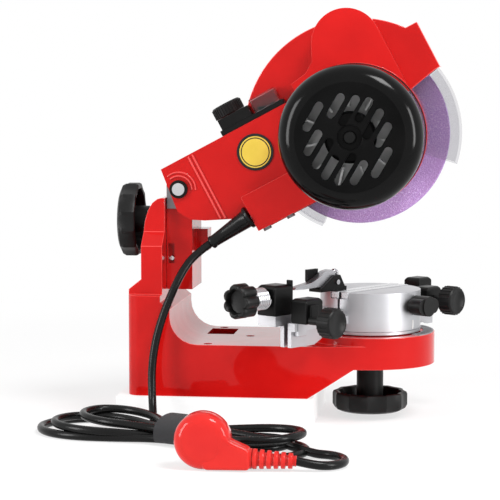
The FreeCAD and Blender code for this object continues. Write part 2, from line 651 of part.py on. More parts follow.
def build():
    os.makedirs("parts", exist_ok=True)
    export("base_casting", base_casting())
    export("vise_scale_plate", vise_scale_plate())

    export("tilt_bracket", tilt_bracket())
    export("tilt_stud", rod(STUD_R, (TILT_KNOB_X + 6, 0, TILT_Z), (-28, 0, TILT_Z)))
    export("tilt_knob", tilt_knob())
    export("swing_pin", rod(PIN_R, (PIVOT_X, -33.5, PIVOT_Z), (PIVOT_X, 33.5, PIVOT_Z)))
    rings = []
    for y in (-32.6, 30.3):
        outer = rod(7.3, (PIVOT_X, y, PIVOT_Z), (PIVOT_X, y + 2.3, PIVOT_Z))
        rings.append(outer.cut(rod(PIN_R, (PIVOT_X, -40, PIVOT_Z), (PIVOT_X, 40, PIVOT_Z))))
    export("pin_rings", group(rings))

    export("arm_housing", on_head(arm_housing()))
    near_box = box(BOX_S, 110, -46, -ARM_HALF - 0.1, -59, -29)
    near_box = near_box.cut(box(BOX_S + 3, 107, -43, -ARM_HALF, -56, -32))
    near_box = near_box.cut(axis_rod(HOUSING_R + 0.2, -70, 0))
    for s, y, t in BOX_SCREWS:
        near_box = near_box.cut(rod(SCREW_R, (s, y, t - 1), (s, y, t + 6)))
    export("wiring_box", on_head(near_box))
    export("motor_housing", on_head(motor_housing()))
    export("guard_shell", on_head(guard_shell()))
    export("guard_cover", on_head(guard_cover()))
    low = screws(BOX_SCREWS, (0, 0, 1), 3.4, 2.4, SCREW_R, 2.8)
    side = screws(guard_screw_seats(), (0, -1, 0), 3.4, 2.4, SCREW_R, 2.8)
    export("pan_screws", on_head(group(low.Solids + side.Solids)))
    export("clear_front_guard", on_head(clear_guard(82.0, -45, 11.5, 14.0)))
    export("clear_rear_guard", on_head(clear_guard(80.0, -160, -139, 11.0)))
    export("motor_cap", on_head(motor_cap()))
    cap_screw = axis_rod(4.6, CAP_END - 2.4, CAP_END - 0.1).fuse(axis_rod(2.5, CAP_END - 0.2, CAP_END + 5.5))
    export("cap_screw", on_head(cap_screw.removeSplitter()))
    export("stator_core", on_head(ring(HOUSING_R - WALL - 0.1, 27.0, -58, -36)))
    coils = ring(46, 29, -66, -58.1).fuse(ring(46, 29, -35.9, -30))
    export("stator_windings", on_head(group(coils.Solids)))
    bearings = [ring(BEARING_R - 0.02, SHAFT_R + RUN_GAP, y, y + BEARING_W) for y in (-28.4, CAP_END + 6.1)]
    export("bearings", on_head(group(bearings)))
    export("capacitor", on_head(rod(17.5, (174, -39, 38), (174, -22.2, 38))))
    switch_base = box(51, 107.5, -29.6, -16.6, ARM_TOP + 0.1, 25).fuse(box(53, 80, -29.2, -17.0, 24, 33.5))
    switch_base = switch_base.cut(box(84.7, 101.3, -27.2, -19.0, 22.4, 30))
    export("switch_base", on_head(switch_base.removeSplitter()))
    dome = box(82.5, 105.5, -29.4, -16.8, 25.1, 36.5).cut(box(83.7, 104.3, -28.2, -18.0, 20, 35.3))
    export("switch_cover", on_head(dome))
    rocker = prism([(86, 24.8), (93, 23.0), (100, 24.8), (100, 26.6), (93, 26.0), (86, 28.8)], -26.8, -19.4)
    export("switch_rocker", on_head(rocker))
    badge = rod(14.7, (68.5, -ARM_HALF - 0.9, -2.4), (68.5, -ARM_HALF - 0.1, -2.4))
    export("round_badge", on_head(badge))
    export("strain_relief", on_head(strain_relief()))
    export("stop_screw", on_head(rod(STOP_R, (STOP_S, STOP_Y, -12), (STOP_S, STOP_Y, 40))))
    knob = lobed_knob(STOP_KNOB_R, 10.5, 18, 0.8).fuse(Part.makeCylinder(6.6, 3.0, V(0, 0, -3.0)))
    knob = aimed(knob.removeSplitter(), (STOP_S, STOP_Y, 35.0), (0, 0, 1))
    export("stop_knob", on_head(knob.cut(rod(STOP_R + RUN_GAP, (STOP_S, STOP_Y, 0), (STOP_S, STOP_Y, 40.2)))))

    export("motor_shaft", on_head(axis_rod(SHAFT_R, CAP_END + 7, 15.4)))
    export("rotor_core", on_head(ring(26.3, SHAFT_R, -58, -36)))
    export("cooling_fan", on_head(fan()))
    hub = ring(22, SHAFT_R, DISC_HALF, 6.0).fuse(ring(DISC_BORE_R - 0.1, SHAFT_R, 0, DISC_HALF))
    hub = hub.removeSplitter()
    export("disc_flanges", on_head(group([hub, hub.mirror(V(0, 0, 0), V(0, 1, 0))])))
    nut = aimed(lobed_knob(10.0, 6.0, 6, 0.6), (AXIS_S, 6.0, AXIS_T), (0, 1, 0))
    export("disc_nut", on_head(nut.cut(axis_rod(SHAFT_R, -9, 40))))
    export("grinding_disc", on_head(ring(DISC_R, DISC_BORE_R, -DISC_HALF, DISC_HALF)))

    spring = coil_spring(8.4, 1.0, 5, -24.0, -10.0)
    export("return_spring", spring)

    export("vise_table", on_vise(vise_table()))
    export("moving_jaw", on_vise(moving_jaw()))
    export("fixed_rail", on_vise(rail(-1)))
    export("moving_rail", on_vise(rail(1)))
    seat = FIXED_BAR[1] + 0.1
    blocks = [guide_block(-20.5, -2.2, -115, -94, seat, 93), guide_block(-18, -2.2, 68, 86, seat, 84.5)]
    export("fixed_blocks", on_vise(group(blocks)))
    seat = MOVING_BAR[1] + 0.1
    blocks = [guide_block(5.2, 21, -105, -85, seat, 83.5), guide_block(5.2, 21, 49, 68, seat, 80)]
    export("moving_blocks", on_vise(group(blocks)))
    export("clamp_screw", on_vise(rod(CLAMP_R, (-29, CLAMP_Y, CLAMP_Z), (VISE_R + 10, CLAMP_Y, CLAMP_Z))))
    export("clamp_lever", on_vise(clamp_lever()))
    export("lock_stud", on_vise(rod(LOCK_STUD_R, (0, 0, -8), (0, 0, VISE_LOW + 8))))
    lock_knob = cup_knob(KNOB_R, 16.0, 12, 4.0).fuse(Part.makeCylinder(11.0, 39.6))
    lock_knob = lock_knob.cut(Part.makeCylinder(LOCK_STUD_R + RUN_GAP, 40, V(0, 0, 8.0)))
    export("lock_knob", moved(lock_knob.removeSplitter(), VISE_X, 0, -17.4))
    export("pawl_bracket", on_vise(pawl_bracket()))
    export("chain_pawl", on_vise(pawl()))
    export("pawl_pin", on_vise(rod(2.0, (PAWL_X - 10, PAWL_Y, PAWL_Z), (PAWL_X + 5, PAWL_Y, PAWL_Z))))
    way = V(*PAWL_SCREW_HEAD) - V(*PAWL_SCREW_FOOT)
    screw = rod(2.0, PAWL_SCREW_FOOT, PAWL_SCREW_HEAD)
    screw = screw.fuse(aimed(lobed_knob(3.4, 2.2, 6, 0.3), PAWL_SCREW_HEAD, tuple(way)))
    export("pawl_screw", on_vise(screw.removeSplitter()))
    x, z = ADJUSTER
    adjuster = aimed(lobed_knob(13.6, 15.0, 7, 2.6), (x, ADJUSTER_Y, z), (0, -1, 0))
    adjuster = adjuster.cut(rod(9.0, (x, ADJUSTER_Y - 10, z), (x, ADJUSTER_Y - 20, z)))
    adjuster = adjuster.fuse(rod(3.0, (x, -115.2, z), (x, ADJUSTER_Y - 1, z)))
    export("adjuster_knob", on_vise(adjuster.removeSplitter()))
    collar = rod(8.7, (x, ADJUSTER_Y + 1, z), (x, -116, z)).cut(rod(3.3, (x, -160, z), (x, -90, z)))
    export("adjuster_collar", on_vise(collar))
    export("near_side_knob", on_vise(side_knob(NEAR_KNOB)))
    export("far_side_knob", on_vise(side_knob(FAR_KNOB)))

    drop = tube(DROP_ROUTE, CORD_R)
    bundle = hank()
    upper = drop.common(box(-200, 200, -300, 0, CORD_CUT_Z + 0.05, 300))
    export("cord_upper", upper.cut(on_head(strain_relief())))
    lower = drop.common(box(-200, 200, -300, 0, -50, CORD_CUT_Z))
    export("cord_lower", lower.cut(bundle))
    export("cord_hank", bundle)
    export("cord_tie", tie())
    export("cord_tail", tube(TAIL_ROUTE, CORD_R).cut(bundle).cut(plug_body()))
    export("plug_body", plug_body())
    export("plug_pins", plug_pins())


build()
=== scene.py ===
import bpy, bmesh, math
from mathutils import Matrix, Vector


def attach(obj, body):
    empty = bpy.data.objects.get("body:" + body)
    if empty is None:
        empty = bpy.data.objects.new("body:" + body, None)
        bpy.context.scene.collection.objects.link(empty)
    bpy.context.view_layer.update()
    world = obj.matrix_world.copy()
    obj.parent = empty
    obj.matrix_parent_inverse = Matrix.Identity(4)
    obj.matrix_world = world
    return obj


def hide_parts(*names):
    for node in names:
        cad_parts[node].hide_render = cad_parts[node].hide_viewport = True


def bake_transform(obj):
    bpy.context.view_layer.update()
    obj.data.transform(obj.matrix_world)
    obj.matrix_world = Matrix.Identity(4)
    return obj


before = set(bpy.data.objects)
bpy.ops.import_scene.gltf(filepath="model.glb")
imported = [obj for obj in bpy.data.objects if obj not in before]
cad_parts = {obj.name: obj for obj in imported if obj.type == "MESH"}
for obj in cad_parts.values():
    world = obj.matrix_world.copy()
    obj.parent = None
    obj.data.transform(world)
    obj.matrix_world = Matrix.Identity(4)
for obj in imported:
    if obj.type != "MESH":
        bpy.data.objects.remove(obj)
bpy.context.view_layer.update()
scene = bpy.context.scene
scene.view_settings.view_transform = "Standard"
mm = 0.001
print("frame loaded:", len(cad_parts), "nodes")

# axes of the machine, as in the solids
headAt = Vector((-26.0, 0, 163.0)) * mm
headLean = math.radians(28)
viseAt = Vector((126.0, 0, 0)) * mm
viseTurn = math.radians(-35)
spindle = (146.7, -27.5)          # along and above the arm, mm
toHead = Matrix.Translation(headAt) @ Matrix.Rotation(-headLean, 4, "Y")
toVise = Matrix.Translation(viseAt) @ Matrix.Rotation(viseTurn, 4, "Z")
whole = Matrix.Identity(4)

# camera
camera = {"turn": 7.0, "rise": 5.3, "away": 1.55, "look": (27.7, 0, 112), "lens": 137.0}


def placeCamera(c):
    a, e = math.radians(c["turn"]), math.radians(c["rise"])
    back = Vector((math.sin(a) * math.cos(e), -math.cos(a) * math.cos(e), math.sin(e)))
    data = bpy.data.cameras.new("view")
    data.lens, data.sensor_width, data.clip_start = c["lens"], 36.0, 0.05
    cam = bpy.data.objects.new("view", data)
    cam.location = Vector(c["look"]) * mm + back * c["away"]
    cam.rotation_euler = back.to_track_quat("Z", "Y").to_euler()
    scene.collection.objects.link(cam)
    scene.camera = cam


placeCamera(camera)


# materials
def newMaterial(name, colour, rough, **sockets):
    mat = bpy.data.materials.new(name)
    mat.use_nodes = True
    shader = mat.node_tree.nodes["Principled BSDF"]
    shader.inputs["Base Color"].default_value = (*colour, 1)
    shader.inputs["Roughness"].default_value = rough
    for key, value in sockets.items():
        shader.inputs[key.replace("_", " ")].default_value = value
    return mat


def link(mat, a, out, b, into):
    mat.node_tree.links.new(a.outputs[out], b.inputs[into])


def addNode(mat, kind, **values):
    node = mat.node_tree.nodes.new(kind)
    for key, value in values.items():
        if key in node.inputs:
            node.inputs[key].default_value = value
        else:
            setattr(node, key, value)
    return node


def coords(mat, scale=(1, 1, 1), turn=(0, 0, 0)):
    source = addNode(mat, "ShaderNodeTexCoord")
    mapping = addNode(mat, "ShaderNodeMapping")
    mapping.inputs["Scale"].default_value = scale
    mapping.inputs["Rotation"].default_value = turn
    link(mat, source, "Object", mapping, "Vector")
    return mapping


def ramp(mat, stops, source, out):
    node = addNode(mat, "ShaderNodeValToRGB")
    while len(node.color_ramp.elements) < len(stops):
        node.color_ramp.elements.new(0.5)
    for element, (at, colour) in zip(node.color_ramp.elements, stops):
        element.position = at
        element.color = (*colour, 1)
    link(mat, source, out, node, "Fac")
    return node


def noiseOn(mat, space, scale, detail):
    noise = addNode(mat, "ShaderNodeTexNoise", Scale=scale, Detail=detail)
    link(mat, space, "Vector", noise, "Vector")
    return noise


def grain(mat, space, scale, detail, low, high):
    noise = noiseOn(mat, space, scale, detail)
    spread = addNode(mat, "ShaderNodeMapRange")
    spread.inputs["To Min"].default_value = low
    spread.inputs["To Max"].default_value = high
    link(mat, noise, "Fac", spread, "Value")
    link(mat, spread, "Result", mat.node_tree.nodes["Principled BSDF"], "Roughness")


def bumpFrom(mat, source, out, strength, distance):
    bump = addNode(mat, "ShaderNodeBump", Strength=strength, Distance=distance)
    link(mat, source, out, bump, "Height")
    link(mat, bump, "Normal", mat.node_tree.nodes["Principled BSDF"], "Normal")


def mottle(mat, space, scale, colours):
    noise = noiseOn(mat, space, scale, 3.0)
    tones = ramp(mat, [(0.3, colours[0]), (0.7, colours[1])], noise, "Fac")
    link(mat, tones, "Color", mat.node_tree.nodes["Principled BSDF"], "Base Color")


def paintRed(name="redPaint", dark=(0.44, 0.0035, 0.003), light=(0.53, 0.006, 0.005), coat=1.25):
    mat = newMaterial(name, dark, 0.3, Specular_IOR_Level=0.05, Coat_Weight=1.0, Coat_IOR=coat,
                      Coat_Roughness=0.04)
    space = coords(mat)
    mottle(mat, space, 22.0, (dark, light))
    grain(mat, space, 60.0, 4.0, 0.3, 0.42)
    bumpFrom(mat, noiseOn(mat, space, 900.0, 2.0), "Fac", 0.12, 0.0004)   # orange peel
    return mat


def mouldedBlack(name, tone, low, high, pebble, strength, shine=0.3):
    mat = newMaterial(name, (tone, tone, tone), low, Specular_IOR_Level=shine)
    space = coords(mat)
    mottle(mat, space, 40.0, ((tone * 0.7,) * 3, (tone * 1.35,) * 3))
    grain(mat, space, 120.0, 3.0, low, high)
    bumpFrom(mat, noiseOn(mat, space, pebble, 2.0), "Fac", strength, 0.0003)
    return mat


def metal(name, dark, light, low, high, stretch, scale, strength):
    mat = newMaterial(name, light, low, Metallic=1.0)
    space = coords(mat, stretch)
    mottle(mat, coords(mat), 30.0, (dark, light))
    grain(mat, space, scale, 4.0, low, high)
    bumpFrom(mat, noiseOn(mat, space, scale, 3.0), "Fac", strength, 0.0002)
    return mat


def gritMaterial():
    mat = newMaterial("discGrit", (0.42, 0.24, 0.54), 0.85)
    space = coords(mat)
    grit = addNode(mat, "ShaderNodeTexVoronoi", Scale=900.0)
    link(mat, space, "Vector", grit, "Vector")
    tones = ramp(mat, [(0.0, (0.30, 0.17, 0.42)), (0.35, (0.40, 0.24, 0.52)), (0.75, (0.48, 0.32, 0.60)),
                       (1.0, (0.66, 0.54, 0.76))], grit, "Distance")
    cloud = noiseOn(mat, space, 18.0, 4.0)
    veil = ramp(mat, [(0.35, (0.86, 0.84, 0.9)), (0.7, (1, 1, 1))], cloud, "Fac")
    mix = addNode(mat, "ShaderNodeMix", data_type="RGBA", blend_type="MULTIPLY")
    mix.inputs[0].default_value = 1.0
    mat.node_tree.links.new(tones.outputs["Color"], mix.inputs[6])
    mat.node_tree.links.new(veil.outputs["Color"], mix.inputs[7])
    mat.node_tree.links.new(mix.outputs[2], mat.node_tree.nodes["Principled BSDF"].inputs["Base Color"])
    bumpFrom(mat, grit, "Distance", 0.5, 0.0005)
    return mat


def clearMaterial(name, tint, rough):
    mat = newMaterial(name, tint, rough, Transmission_Weight=1.0, IOR=1.3)
    grain(mat, coords(mat), 35.0, 5.0, rough * 0.5, rough * 2.2)   # scuffs
    return mat


def strapMaterial():
    mat = newMaterial("strapCloth", (0.02, 0.02, 0.022), 0.9, Sheen_Weight=0.08)
    space = coords(mat, turn=(0, 0, math.radians(25)))
    weave = addNode(mat, "ShaderNodeTexWave", Scale=420.0, Distortion=1.5)
    link(mat, space, "Vector", weave, "Vector")
    tones = ramp(mat, [(0.2, (0.006, 0.006, 0.007)), (0.8, (0.022, 0.022, 0.025))], weave, "Fac")
    link(mat, tones, "Color", mat.node_tree.nodes["Principled BSDF"], "Base Color")
    bumpFrom(mat, weave, "Fac", 0.5, 0.0005)
    return mat


red = paintRed()
# lighter red with a stronger coat for bevel strips and arm ribs: the lighter colour is a painted highlight
# along the rounded edges
redEdgeHighlight = paintRed("redEdgeHighlight", (0.66, 0.045, 0.04), (0.74, 0.06, 0.055), 1.5)
redPlug = paintRed("plugRed", (0.54, 0.016, 0.014), (0.62, 0.024, 0.018))
glossBlack = mouldedBlack("glossBlack", 0.002, 0.10, 0.16, 300.0, 0.02, 0.13)
capFace = mouldedBlack("capFace", 0.003, 0.28, 0.36, 300.0, 0.02, 0.05)
knobBlack = mouldedBlack("knobBlack", 0.006, 0.34, 0.46, 1100.0, 0.2, 0.18)
blockBlack = mouldedBlack("blockBlack", 0.004, 0.26, 0.38, 700.0, 0.15, 0.15)
cordBlack = mouldedBlack("cordBlack", 0.004, 0.22, 0.32, 500.0, 0.1, 0.18)
# pale grey for the cooling fan, lightened to stand in for the light that reaches it through the cap's slots:
# partly the fan's own grey, partly painted light
fanGreyPaintedBright = mouldedBlack("fanGreyPaintedBright", 0.62, 0.3, 0.4, 400.0, 0.1, 0.5)
castMetal = metal("castMetal", (0.40, 0.40, 0.42), (0.52, 0.52, 0.54), 0.32, 0.46, (1, 1, 1), 240.0, 0.12)
machined = metal("machined", (0.47, 0.47, 0.49), (0.56, 0.56, 0.58), 0.36, 0.48, (1, 1, 22), 60.0, 0.05)
steel = metal("brightSteel", (0.50, 0.50, 0.52), (0.68, 0.68, 0.70), 0.16, 0.3, (1, 16, 1), 150.0, 0.08)
greyPlate = metal("greyPlate", (0.17, 0.17, 0.18), (0.23, 0.23, 0.24), 0.4, 0.5, (1, 1, 1), 240.0, 0.1)
copper = metal("windings", (0.45, 0.16, 0.06), (0.68, 0.30, 0.14), 0.3, 0.45, (1, 1, 30), 160.0, 0.5)
grit = gritMaterial()
clear = clearMaterial("clearShield", (0.76, 0.755, 0.775), 0.05)
strap = strapMaterial()
print("materials ready")


# mesh helpers
def toPiece(name, mesh, body, nodes=(), material=None, place=whole):
    mesh.transform(place)
    if place.determinant() < 0:
        mesh.flip_normals()
    obj = bpy.data.objects.new(name, mesh)
    scene.collection.objects.link(obj)
    if material:
        mesh.materials.clear()
        mesh.materials.append(material)
    if body:
        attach(obj, body)
    if nodes:
        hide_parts(*nodes)
    return obj


def fromBmesh(bm, name):
    bmesh.ops.remove_doubles(bm, verts=bm.verts, dist=1e-6)
    bmesh.ops.recalc_face_normals(bm, faces=bm.faces)
    mesh = bpy.data.meshes.new(name)
    bm.to_mesh(mesh)
    bm.free()
    return mesh


def smoothByAngle(mesh, degrees=32):
    mesh.shade_smooth()
    mesh.set_sharp_from_angle(angle=math.radians(degrees))


def evaluated(obj):
    deps = bpy.context.evaluated_depsgraph_get()
    return bpy.data.meshes.new_from_object(obj.evaluated_get(deps))


def finished(mesh, modifiers):
    obj = bpy.data.objects.new("work", mesh)
    scene.collection.objects.link(obj)
    for kind, values in modifiers:
        mod = obj.modifiers.new(kind.lower(), kind)
        for key, value in values.items():
            setattr(mod, key, value)
    made = evaluated(obj)
    bpy.data.objects.remove(obj)
    return made


def bevelled(mesh, width, segments=3, angle=35, slot=-1):
    mesh.shade_smooth()
    return finished(mesh, [("BEVEL", {"width": width * mm, "segments": segments, "limit_method": "ANGLE",
                                      "angle_limit": math.radians(angle), "material": slot}),
                           ("WEIGHTED_NORMAL", {"mode": "FACE_AREA", "weight": 80, "keep_sharp": True})])


def cadCopy(node, dissolve=2.0):
    bm = bmesh.new()
    bm.from_mesh(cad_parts[node].data)
    bmesh.ops.remove_doubles(bm, verts=bm.verts, dist=2e-6)
    bmesh.ops.dissolve_limit(bm, angle_limit=math.radians(dissolve), verts=bm.verts, edges=bm.edges)
    mesh = bpy.data.meshes.new(node)
    bm.to_mesh(mesh)
    bm.free()
    return mesh


def roundedNode(node, body, material, width=1.2, segments=3, angle=35, edge=None):
    mesh = cadCopy(node)
    mesh.materials.append(material)
    if edge:
        mesh.materials.append(edge)
    # bevel strips take the second material when one is given; with the lighter red this paints a highlight
    # along every rounded edge
    mesh = bevelled(mesh, width, segments, angle, 1 if edge else -1)
    return toPiece(node + "Skin", mesh, body, (node,), None)


def skinRings(bm, rings, steps, closed=False):
    pairs = list(zip(rings, rings[1:])) + ([(rings[-1], rings[0])] if closed else [])
    for a, b in pairs:
        for i in range(steps):
            k = (i + 1) % steps
            if len(a) == 1:
                bm.faces.new((a[0], b[i], b[k]))
            elif len(b) == 1:
                bm.faces.new((a[i], a[k], b[0]))
            else:
                bm.faces.new((a[i], a[k], b[k], b[i]))


def lathe(profile, steps=96, closed=False):
    # each point: radius and place along the axis; a radius of 0 is a pole
    bm = bmesh.new()
    rings = []
    for r, d in profile:
        angles = [2 * math.pi * i / steps for i in range(steps)] if r else [0.0]
        rings.append([bm.verts.new((r * mm * math.cos(a), r * mm * math.sin(a), d * mm)) for a in angles])
    skinRings(bm, rings, steps, closed)
    return fromBmesh(bm, "lathe")


def aim(start, way, place=whole):
    turn = Vector(way).to_track_quat("Z", "Y").to_matrix().to_4x4()
    return place @ Matrix.Translation(Vector(start) * mm) @ turn


def arcProfile(r, d, size, fromDeg, toDeg, steps=6):
    made = []
    for i in range(steps + 1):
        a = math.radians(fromDeg + (toDeg - fromDeg) * i / steps)
        made.append((r + size * math.cos(a), d + size * math.sin(a)))
    return made


def prismMesh(points, low, high, axis="Y"):
    bm = bmesh.new()
    pick = {"X": lambda a, b, c: (c, a, b),
            "Y": lambda a, b, c: (a, c, b),
            "Z": lambda a, b, c: (a, b, c)}[axis]
    lower = [bm.verts.new(Vector(pick(a, b, low)) * mm) for a, b in points]
    upper = [bm.verts.new(Vector(pick(a, b, high)) * mm) for a, b in points]
    bm.faces.new(lower)
    bm.faces.new(upper)
    count = len(points)
    for i in range(count):
        k = (i + 1) % count
        bm.faces.new((lower[i], lower[k], upper[k], upper[i]))
    return fromBmesh(bm, "prism")


def rect(x0, x1, y0, y1):
    return [(x0, y0), (x1, y0), (x1, y1), (x0, y1)]


def cutBy(mesh, cutters):
    obj = bpy.data.objects.new("work", mesh)
    scene.collection.objects.link(obj)
    tools = []
    for cutter in cutters:
        tool = bpy.data.objects.new("cutter", cutter)
        scene.collection.objects.link(tool)
        mod = obj.modifiers.new("cut", "BOOLEAN")
        mod.operation, mod.object, mod.solver = "DIFFERENCE", tool, "EXACT"
        tools.append(tool)
    made = evaluated(obj)
    for item in tools + [obj]:
        bpy.data.objects.remove(item)
    return made


def joined(meshes):
    bm = bmesh.new()
    for mesh in meshes:
        bm.from_mesh(mesh)
    made = bpy.data.meshes.new("joined")
    bm.to_mesh(made)
    bm.free()
    return made


# repeated details: one tree that sets copies of a shape round an axis
def ringTree():
    tree = bpy.data.node_groups.new("aroundAxis", "GeometryNodeTree")
    tree.is_modifier = True
    face = tree.interface
    face.new_socket("Geometry", in_out="INPUT", socket_type="NodeSocketGeometry")
    for name, kind, value in (("Count", "NodeSocketInt", 12), ("Radius", "NodeSocketFloat", 0.03),
                              ("Finish", "NodeSocketMaterial", None)):
        socket = face.new_socket(name, in_out="INPUT", socket_type=kind)
        if value is not None:
            socket.default_value = value
    face.new_socket("Geometry", in_out="OUTPUT", socket_type="NodeSocketGeometry")
    nodes, links = tree.nodes, tree.links
    given, result = nodes.new("NodeGroupInput"), nodes.new("NodeGroupOutput")
    circle = nodes.new("GeometryNodeMeshCircle")
    copies = nodes.new("GeometryNodeInstanceOnPoints")
    spot, split = nodes.new("GeometryNodeInputPosition"), nodes.new("ShaderNodeSeparateXYZ")
    angle, turn = nodes.new("ShaderNodeMath"), nodes.new("ShaderNodeCombineXYZ")
    real, paint = nodes.new("GeometryNodeRealizeInstances"), nodes.new("GeometryNodeSetMaterial")
    angle.operation = "ARCTAN2"
    links.new(given.outputs["Count"], circle.inputs["Vertices"])
    links.new(given.outputs["Radius"], circle.inputs["Radius"])
    links.new(circle.outputs["Mesh"], copies.inputs["Points"])
    links.new(given.outputs["Geometry"], copies.inputs["Instance"])
    links.new(spot.outputs["Position"], split.inputs["Vector"])
    links.new(split.outputs["Y"], angle.inputs[0])
    links.new(split.outputs["X"], angle.inputs[1])
    links.new(angle.outputs["Value"], turn.inputs["Z"])
    links.new(turn.outputs["Vector"], copies.inputs["Rotation"])
    links.new(copies.outputs["Instances"], real.inputs["Geometry"])
    links.new(real.outputs["Geometry"], paint.inputs["Geometry"])
    links.new(given.outputs["Finish"], paint.inputs["Material"])
    links.new(paint.outputs["Geometry"], result.inputs["Geometry"])
    return tree


aroundAxis = ringTree()


def ringOf(mesh, count, radius, material):
    obj = bpy.data.objects.new("work", mesh)
    scene.collection.objects.link(obj)
    mod = obj.modifiers.new("around", "NODES")
    mod.node_group = aroundAxis
    ids = {s.name: s.identifier for s in aroundAxis.interface.items_tree if s.in_out == "INPUT"}
    mod[ids["Count"]], mod[ids["Radius"]], mod[ids["Finish"]] = count, radius * mm, material
    made = evaluated(obj)
    bpy.data.objects.remove(obj)
    return made


print("helpers ready")

# cord: one line from the strain relief to the plug, through the tied hank
cord = {"radius": 3.2, "splitZ": 30.0, "hankAt": (-8.0, -137.5), "hankTurn": -25.0, "sides": 14}
dropRoute = [(1.0, -40.0, 120.7), (-10.5, -45.5, 112.5), (-19.5, -53.0, 100.0), (-27.0, -60.0, 83.0),
             (-34.0, -65.0, 64.0), (-39.0, -68.0, 45.0), (-41.5, -69.8, 25.5), (-41.3, -71.5, 10.0),
             (-39.7, -78.0, -3.7), (-37.0, -89.5, -13.8), (-33.4, -104.5, -18.4), (-29.5, -122.0, -18.2)]
tailRoute = [(96.5, -181.5, -18.4), (108.0, -183.6, -18.4), (117.0, -191.3, -18.4), (121.1, -202.6, -18.4),
             (119.0, -214.4, -18.4), (111.3, -223.6, -18.2), (100.0, -227.7, -17.0), (88.4, -227.1, -14.6)]


def onHank(p, q, h):
    a = math.radians(cord["hankTurn"])
    x, y = cord["hankAt"]
    return (x + p * math.cos(a) - q * math.sin(a), y + p * math.sin(a) + q * math.cos(a), h)


def lobe(side, reach, wide, fan, enter, leave, low, crown):
    # out on one side of the axis, round the end and back on the other
    steps = [(0.36, 0.62), (0.60, 0.96), (0.82, 0.92), (0.97, 0.52), (1.0, 0.0), (0.96, -0.54), (0.80, -0.94),
             (0.58, -0.98), (0.34, -0.64)]
    made = [(side * 15, *enter)]
    for k, (along, across) in enumerate(steps):
        lift = crown * math.sin(math.pi * k / (len(steps) - 1)) + low
        made.append((side * reach * along, side * wide * across + fan * along, lift))
    return made + [(side * 15, *leave)]


turns = [
    lobe(1, 106, 33, -3, (3.0, -17.6), (-10.5, -17.6), -18.5, 0.0),
    lobe(-1, 126, 38, 4, (-10.5, -17.6), (10.5, -17.6), -18.5, 0.0),
    lobe(1, 90, 26, 4, (10.5, -17.6), (-4.0, -17.4), -16.2, 1.5),
    lobe(-1, 108, 29, -6, (-4.0, -17.4), (7.0, -11.6), -14.6, 3.0),
    lobe(1, 99, 30, 5, (7.0, -11.6), (-7.5, -11.4), -10.4, 3.4),
    lobe(-1, 92, 25, 9, (-7.5, -11.4), (0.0, -8.4), -9.4, 3.0),
]
hankRoute = [onHank(*p) for turn in turns for p in turn]
hankRoute += [onHank(*p) for p in ((15, 0.4, -8.6), (48, 1.5, -9.6), (84, 5.0, -13.0))]
cordRoute = dropRoute + hankRoute + tailRoute


def cordLine(points):
    data = bpy.data.curves.new("cordLine", "CURVE")
    data.dimensions = "3D"
    line = data.splines.new("NURBS")
    line.points.add(len(points) - 1)
    for point, place in zip(line.points, points):
        point.co = (*(Vector(place) * mm), 1)
    line.order_u = 3
    line.use_endpoint_u = True
    line.resolution_u = 5
    obj = bpy.data.objects.new("cordLine", data)
    scene.collection.objects.link(obj)
    places = [v.co.copy() for v in evaluated(obj).vertices]
    bpy.data.objects.remove(obj)
    return places


def tubeAlong(path, radius, sides):
    bm = bmesh.new()
    uv = bm.loops.layers.uv.new("UVMap")
    normal = (path[1] - path[0]).orthogonal().normalized()
    rings, run = [], 0.0
    for i, at in enumerate(path):
        way = (path[min(i + 1, len(path) - 1)] - path[max(i - 1, 0)]).normalized()
        normal = (normal - way * normal.dot(way)).normalized()
        side = way.cross(normal)
        run += (at - path[i - 1]).length if i else 0.0
        angles = [2 * math.pi * k / sides for k in range(sides)]
        ring = [bm.verts.new(at + (normal * math.cos(a) + side * math.sin(a)) * radius) for a in angles]
        rings.append((ring, run))
    for (a, u), (b, v) in zip(rings, rings[1:]):
        for k in range(sides):
            n = (k + 1) % sides
            face = bm.faces.new((a[k], a[n], b[n], b[k]))
            for loop, spot in zip(face.loops, ((k, u), (k + 1, u), (k + 1, v), (k, v))):
                loop[uv].uv = (spot[0] / sides, spot[1] * 40)
    bm.faces.new(list(reversed(rings[0][0])))
    bm.faces.new(rings[-1][0])
    bmesh.ops.recalc_face_normals(bm, faces=bm.faces)
    mesh = bpy.data.meshes.new("tube")
    bm.to_mesh(mesh)
    bm.free()
    smoothByAngle(mesh, 50)
    return mesh


def lengthOf(path):
    return sum((b - a).length for a, b in zip(path, path[1:]))


cordPath = cordLine(cordRoute)
cutAt = next(i for i, p in enumerate(cordPath) if p.z < cord["splitZ"] * mm)
upperPath, lowerPath = cordPath[:cutAt + 1], cordPath[cutAt:]
upperCord = toPiece("cordUpper", tubeAlong(upperPath, cord["radius"] * mm, cord["sides"]), None,
                    ("cord_upper",), cordBlack)
lowerCord = toPiece("cordLower", tubeAlong(lowerPath, cord["radius"] * mm, cord["sides"]), None,
                    ("cord_lower", "cord_hank", "cord_tail"), cordBlack)
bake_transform(upperCord)
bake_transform(lowerCord)
print("cord:", round(lengthOf(cordPath), 3), "m")

# hook and loop tie round the hank
tie = {"half": 12.5, "wide": 18.2, "low": -21.4, "top": -1.0, "thick": 1.5}


